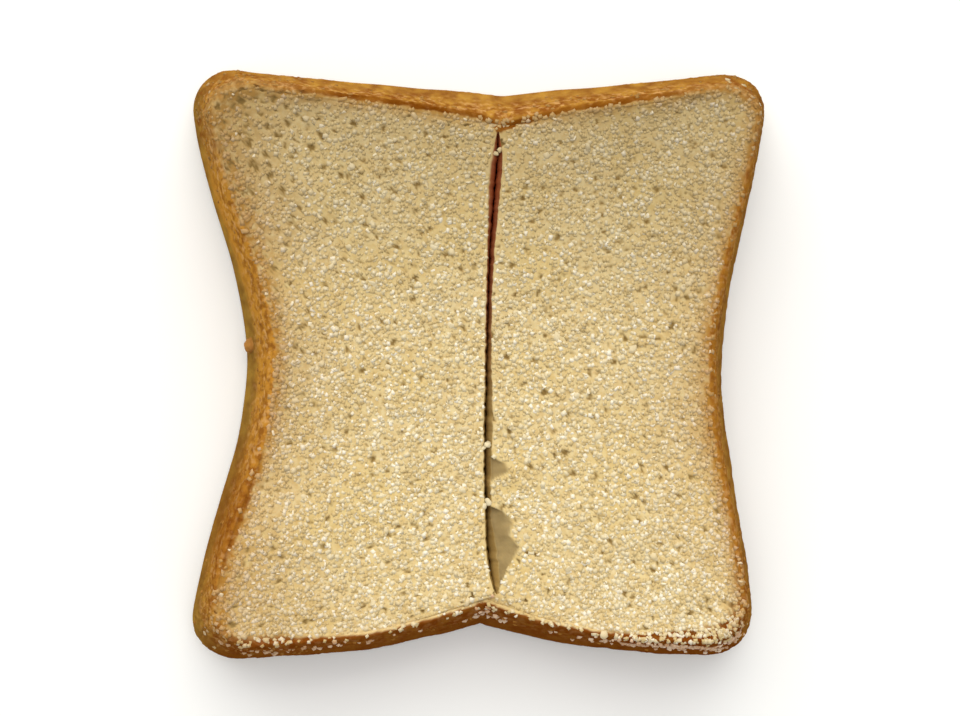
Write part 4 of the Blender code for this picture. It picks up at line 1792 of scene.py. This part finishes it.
    def crust_places(self) -> tuple[np.ndarray, np.ndarray]:
        """Gives places all round the crust wall, most of them high up and at the corners.

        Returns:
            The places and the surface's direction at each.
        """
        rng = np.random.default_rng(self.speck_seed)
        rays = []
        for _ in range(self.speck_count):
            turn = rng.uniform(0.0, 2 * math.pi)
            inwards = -Vector((math.cos(turn), math.sin(turn), 0.0))
            share = 1.0 - self.speck_span * rng.random() ** self.speck_crowding
            middle = Vector((0.0, 0.0, self.bread.form.rim_corner_height * share))
            rays.append((middle - inwards * OUTSIDE, inwards))
        places, normals = self.bread.hits(rays, self.facing)
        keep = rng.random(len(places)) < self.speck_share + total(self.speck_corners, places)
        return places[keep], normals[keep]

    def build(self) -> list[bpy.types.Object]:
        """Lays the sugar, finest first.

        Returns:
            The pieces, one for each kind of grain.
        """
        soaked = SugarFinish("butter_soaked_sugar", "#D5BF8C", "#C6AC76", roughness=0.62)
        cream = SugarFinish("half_melted_sugar", "#E0D2AE", "#D4C196", roughness=0.55)
        pale = SugarFinish("granulated_sugar", "#EEE5D0", "#E4D7B8", roughness=0.45)
        clear = SugarFinish("dry_sugar", "#F3E8CE", "#E6D5AC", 0.18, most_browned=0.4, specular=0.5)
        fallen = SugarFinish("fallen_sugar", "#EAD2B6", "#BC8E64", 0.35, specular=0.10)
        baked = SugarFinish("baked_on_sugar", "#A87434", "#744410", 0.60, most_browned=0.5, specular=0.0)
        dry = {"chamfer": 0.16, "tilt": 0.8, "uneven": 0.12}
        chunky = {"chamfer": 0.18, "shape": (1.0, 0.9, 0.8), "tilt": 0.9, "sunk": 0.02}
        squat = {"chamfer": 0.18, "shape": (1.0, 0.9, 0.7), "tilt": 0.4, "sunk": 0.16}
        large = {"chamfer": 0.22, "shape": (1.0, 0.80, 0.60), "tilt": 0.5, "sunk": 0.22, "uneven": 0.36}
        kinds = (
            (
                SugarGrains("sugar_soaked", soaked, (0.50 * MM, 0.90 * MM), 51),
                [self.spread(Scatter(0.86 * MM, 0.85, 0.0, 51))],
            ),
            (
                SugarGrains("sugar_cream", cream, (0.56 * MM, 1.00 * MM), 52, tilt=0.05),
                [self.spread(Scatter(0.98 * MM, 0.66, 0.10, 52))],
            ),
            (
                SugarGrains("sugar_pale", pale, (0.55 * MM, 0.98 * MM), 53, tilt=0.10),
                [self.spread(Scatter(1.5 * MM, 0.50, 0.90, 53))],
            ),
            (
                SugarGrains("sugar_bright", clear, (0.60 * MM, 1.05 * MM), 54, **dry),
                [self.spread(Scatter(4.2 * MM, 0.45, 0.5, 54)), self.lip_places()],
            ),
            (
                SugarGrains("sugar_wall", fallen, (0.50 * MM, 1.00 * MM), 56, **chunky),
                [self.wall_places()],
            ),
            (
                SugarGrains("sugar_baked", baked, (0.40 * MM, 0.95 * MM), 57, **squat),
                [self.crust_places()],
            ),
            (
                SugarGrains("sugar_coarse", cream, (1.05 * MM, 1.65 * MM), 55, **large),
                [self.coarse_places(), self.bridge_places()],
            ),
        )
        return [grains.lay(*map(np.concatenate, zip(*found)), self.bread) for grains, found in kinds]


@dataclass(frozen=True)
class StuckCrumbFinish:
    """A crumb of bread baked hard on the crust: dull golden brown."""

    colour: str = "#A87432"
    roughness: float = 0.7
    specular: float = 0.2

    def make(self) -> bpy.types.Material:
        """Makes the material.

        Returns:
            The material.
        """
        settings = {
            "Base Color": linear(self.colour),
            "Roughness": self.roughness,
            "Specular IOR Level": self.specular,
        }
        return plain_material("baked_crumb", settings)


@dataclass
class StuckCrumb:
    """The crumb stuck to the left wall's crust."""

    bread: BreadSlice
    y: float = 0.0040
    z: float = 0.0062
    radius: float = 1.5 * MM
    # How much its radius varies, as shares of itself, and over which lengths
    unevenness: tuple[tuple[float, float], ...] = ((0.25, 0.9 * MM), (0.1, 0.3 * MM))
    finish: StuckCrumbFinish = field(default_factory=StuckCrumbFinish)

    def build(self) -> bpy.types.Object:
        """Builds the crumb, half sunk in the crust.

        Returns:
            The crumb's object.
        """
        place, _, _, _ = self.bread.surface.ray_cast(Vector((-OUTSIDE, self.y, self.z)), Vector((1, 0, 0)))
        shape = bmesh.new()
        bmesh.ops.create_icosphere(shape, subdivisions=4, radius=self.radius)
        for point in shape.verts:
            point.co *= 1.0 + sum(share * noise.noise(point.co / size) for share, size in self.unevenness)
            point.co += place
        mesh = bpy.data.meshes.new("stuck_crumb")
        shape.to_mesh(mesh)
        shape.free()
        mesh.shade_smooth()
        mesh.materials.append(self.finish.make())
        piece = placed("stuck_crumb", mesh)
        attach(piece, BODY)
        LOG.info("stuck_crumb: %d faces", len(mesh.polygons))
        return piece


@dataclass(frozen=True)
class WhiteCardFinish:
    """Matt white card, a little warm, with hardly any gloss."""

    colour: str = "#F6F6F4"
    roughness: float = 0.9
    specular: float = 0.1

    def make(self) -> bpy.types.Material:
        """Makes the material.

        Returns:
            The material.
        """
        settings = {
            "Base Color": linear(self.colour),
            "Roughness": self.roughness,
            "Specular IOR Level": self.specular,
        }
        return plain_material("white_card", settings)


@dataclass(frozen=True)
class SoftLight:
    """A square soft light that faces the slice."""

    name: str
    place: tuple[float, float, float]
    size: float
    watts: float
    colour: str

    def hang(self) -> None:
        """Hangs the light."""
        lamp = bpy.data.lights.new(self.name, "AREA")
        lamp.size = self.size
        lamp.energy = self.watts
        lamp.color = linear(self.colour)[:3]
        piece = placed(self.name, lamp)
        piece.location = self.place
        piece.rotation_euler = (-Vector(self.place)).to_track_quat("-Z", "Y").to_euler()


@dataclass
class Studio:
    """The pale floor, the soft light and the camera."""

    stand: np.ndarray
    finish: WhiteCardFinish = field(default_factory=WhiteCardFinish)
    lights: tuple[SoftLight, ...] = (
        SoftLight("window", (-0.25, 1.9, 1.4), 3.2, 66.0, "#FFFDF6"),
        SoftLight("ceiling", (0.0, 0.2, 2.4), 1.8, 21.0, "#FFFFFF"),
    )
    room_colour: str = "#FFFFFF"
    room_strength: float = 0.50
    floor_size: float = 6.0
    picture_width: int = 960
    picture_height: int = 716
    focal_pixels: float = 2093.0
    axis_pixel: tuple[float, float] = (484.7, 363.2)
    distance: float = 0.42
    nearest: float = 0.01  # nothing nearer to the camera than this is drawn
    aim_height: float = 0.022  # of the point that it circles round
    lean_left: float = math.radians(3.03)
    lean_far: float = math.radians(0.15)

    def floor(self) -> None:
        """Lays the floor under the slice."""
        shape = bmesh.new()
        bmesh.ops.create_grid(shape, x_segments=1, y_segments=1, size=self.floor_size / 2)
        mesh = bpy.data.meshes.new("floor")
        shape.to_mesh(mesh)
        shape.free()
        mesh.materials.append(self.finish.make())
        placed("floor", mesh)

    def world(self) -> None:
        """Fills the room with even pale light."""
        world = bpy.data.worlds.new("studio")
        world.use_nodes = True
        background = world.node_tree.nodes["Background"]
        background.inputs["Color"].default_value = linear(self.room_colour)
        background.inputs["Strength"].default_value = self.room_strength
        bpy.context.scene.world = world

    def camera(self) -> None:
        """Sets the camera where the photograph was taken: almost straight overhead."""
        lens = bpy.data.cameras.new("camera")
        lens.sensor_width = SENSOR_WIDTH_MM
        lens.lens = self.focal_pixels * SENSOR_WIDTH_MM / self.picture_width
        lens.shift_x = (self.picture_width / 2 - self.axis_pixel[0]) / self.picture_width
        lens.shift_y = (self.axis_pixel[1] - self.picture_height / 2) / self.picture_width
        lens.clip_start = self.nearest
        back = Vector((-math.sin(self.lean_left), math.sin(self.lean_far), 0.0))
        back.z = math.sqrt(1.0 - back.length_squared)
        right = Vector((0.0, 1.0, 0.0)).cross(back).normalized()
        turn = Matrix((right, back.cross(right), back)).transposed().to_4x4()
        place = Vector(self.stand) + Vector((0.0, 0.0, self.aim_height)) + back * self.distance
        piece = placed("camera", lens)
        piece.matrix_world = Matrix.Translation(place) @ turn
        bpy.context.scene.camera = piece

    def build(self) -> None:
        """Sets up the studio."""
        self.floor()
        self.world()
        for light in self.lights:
            light.hang()
        self.camera()
        bpy.context.scene.view_settings.view_transform = "Standard"


def main() -> None:
    """Builds the slice, its sugar and the studio, and reports each piece."""
    logging.basicConfig(level=logging.INFO, format="%(name)s: %(message)s")
    bread = BreadSlice()
    bread.build()
    SugarTopping(bread).build()
    StuckCrumb(bread).build()
    Studio(bread.form.stand).build()


if __name__ == "__main__":
    main()
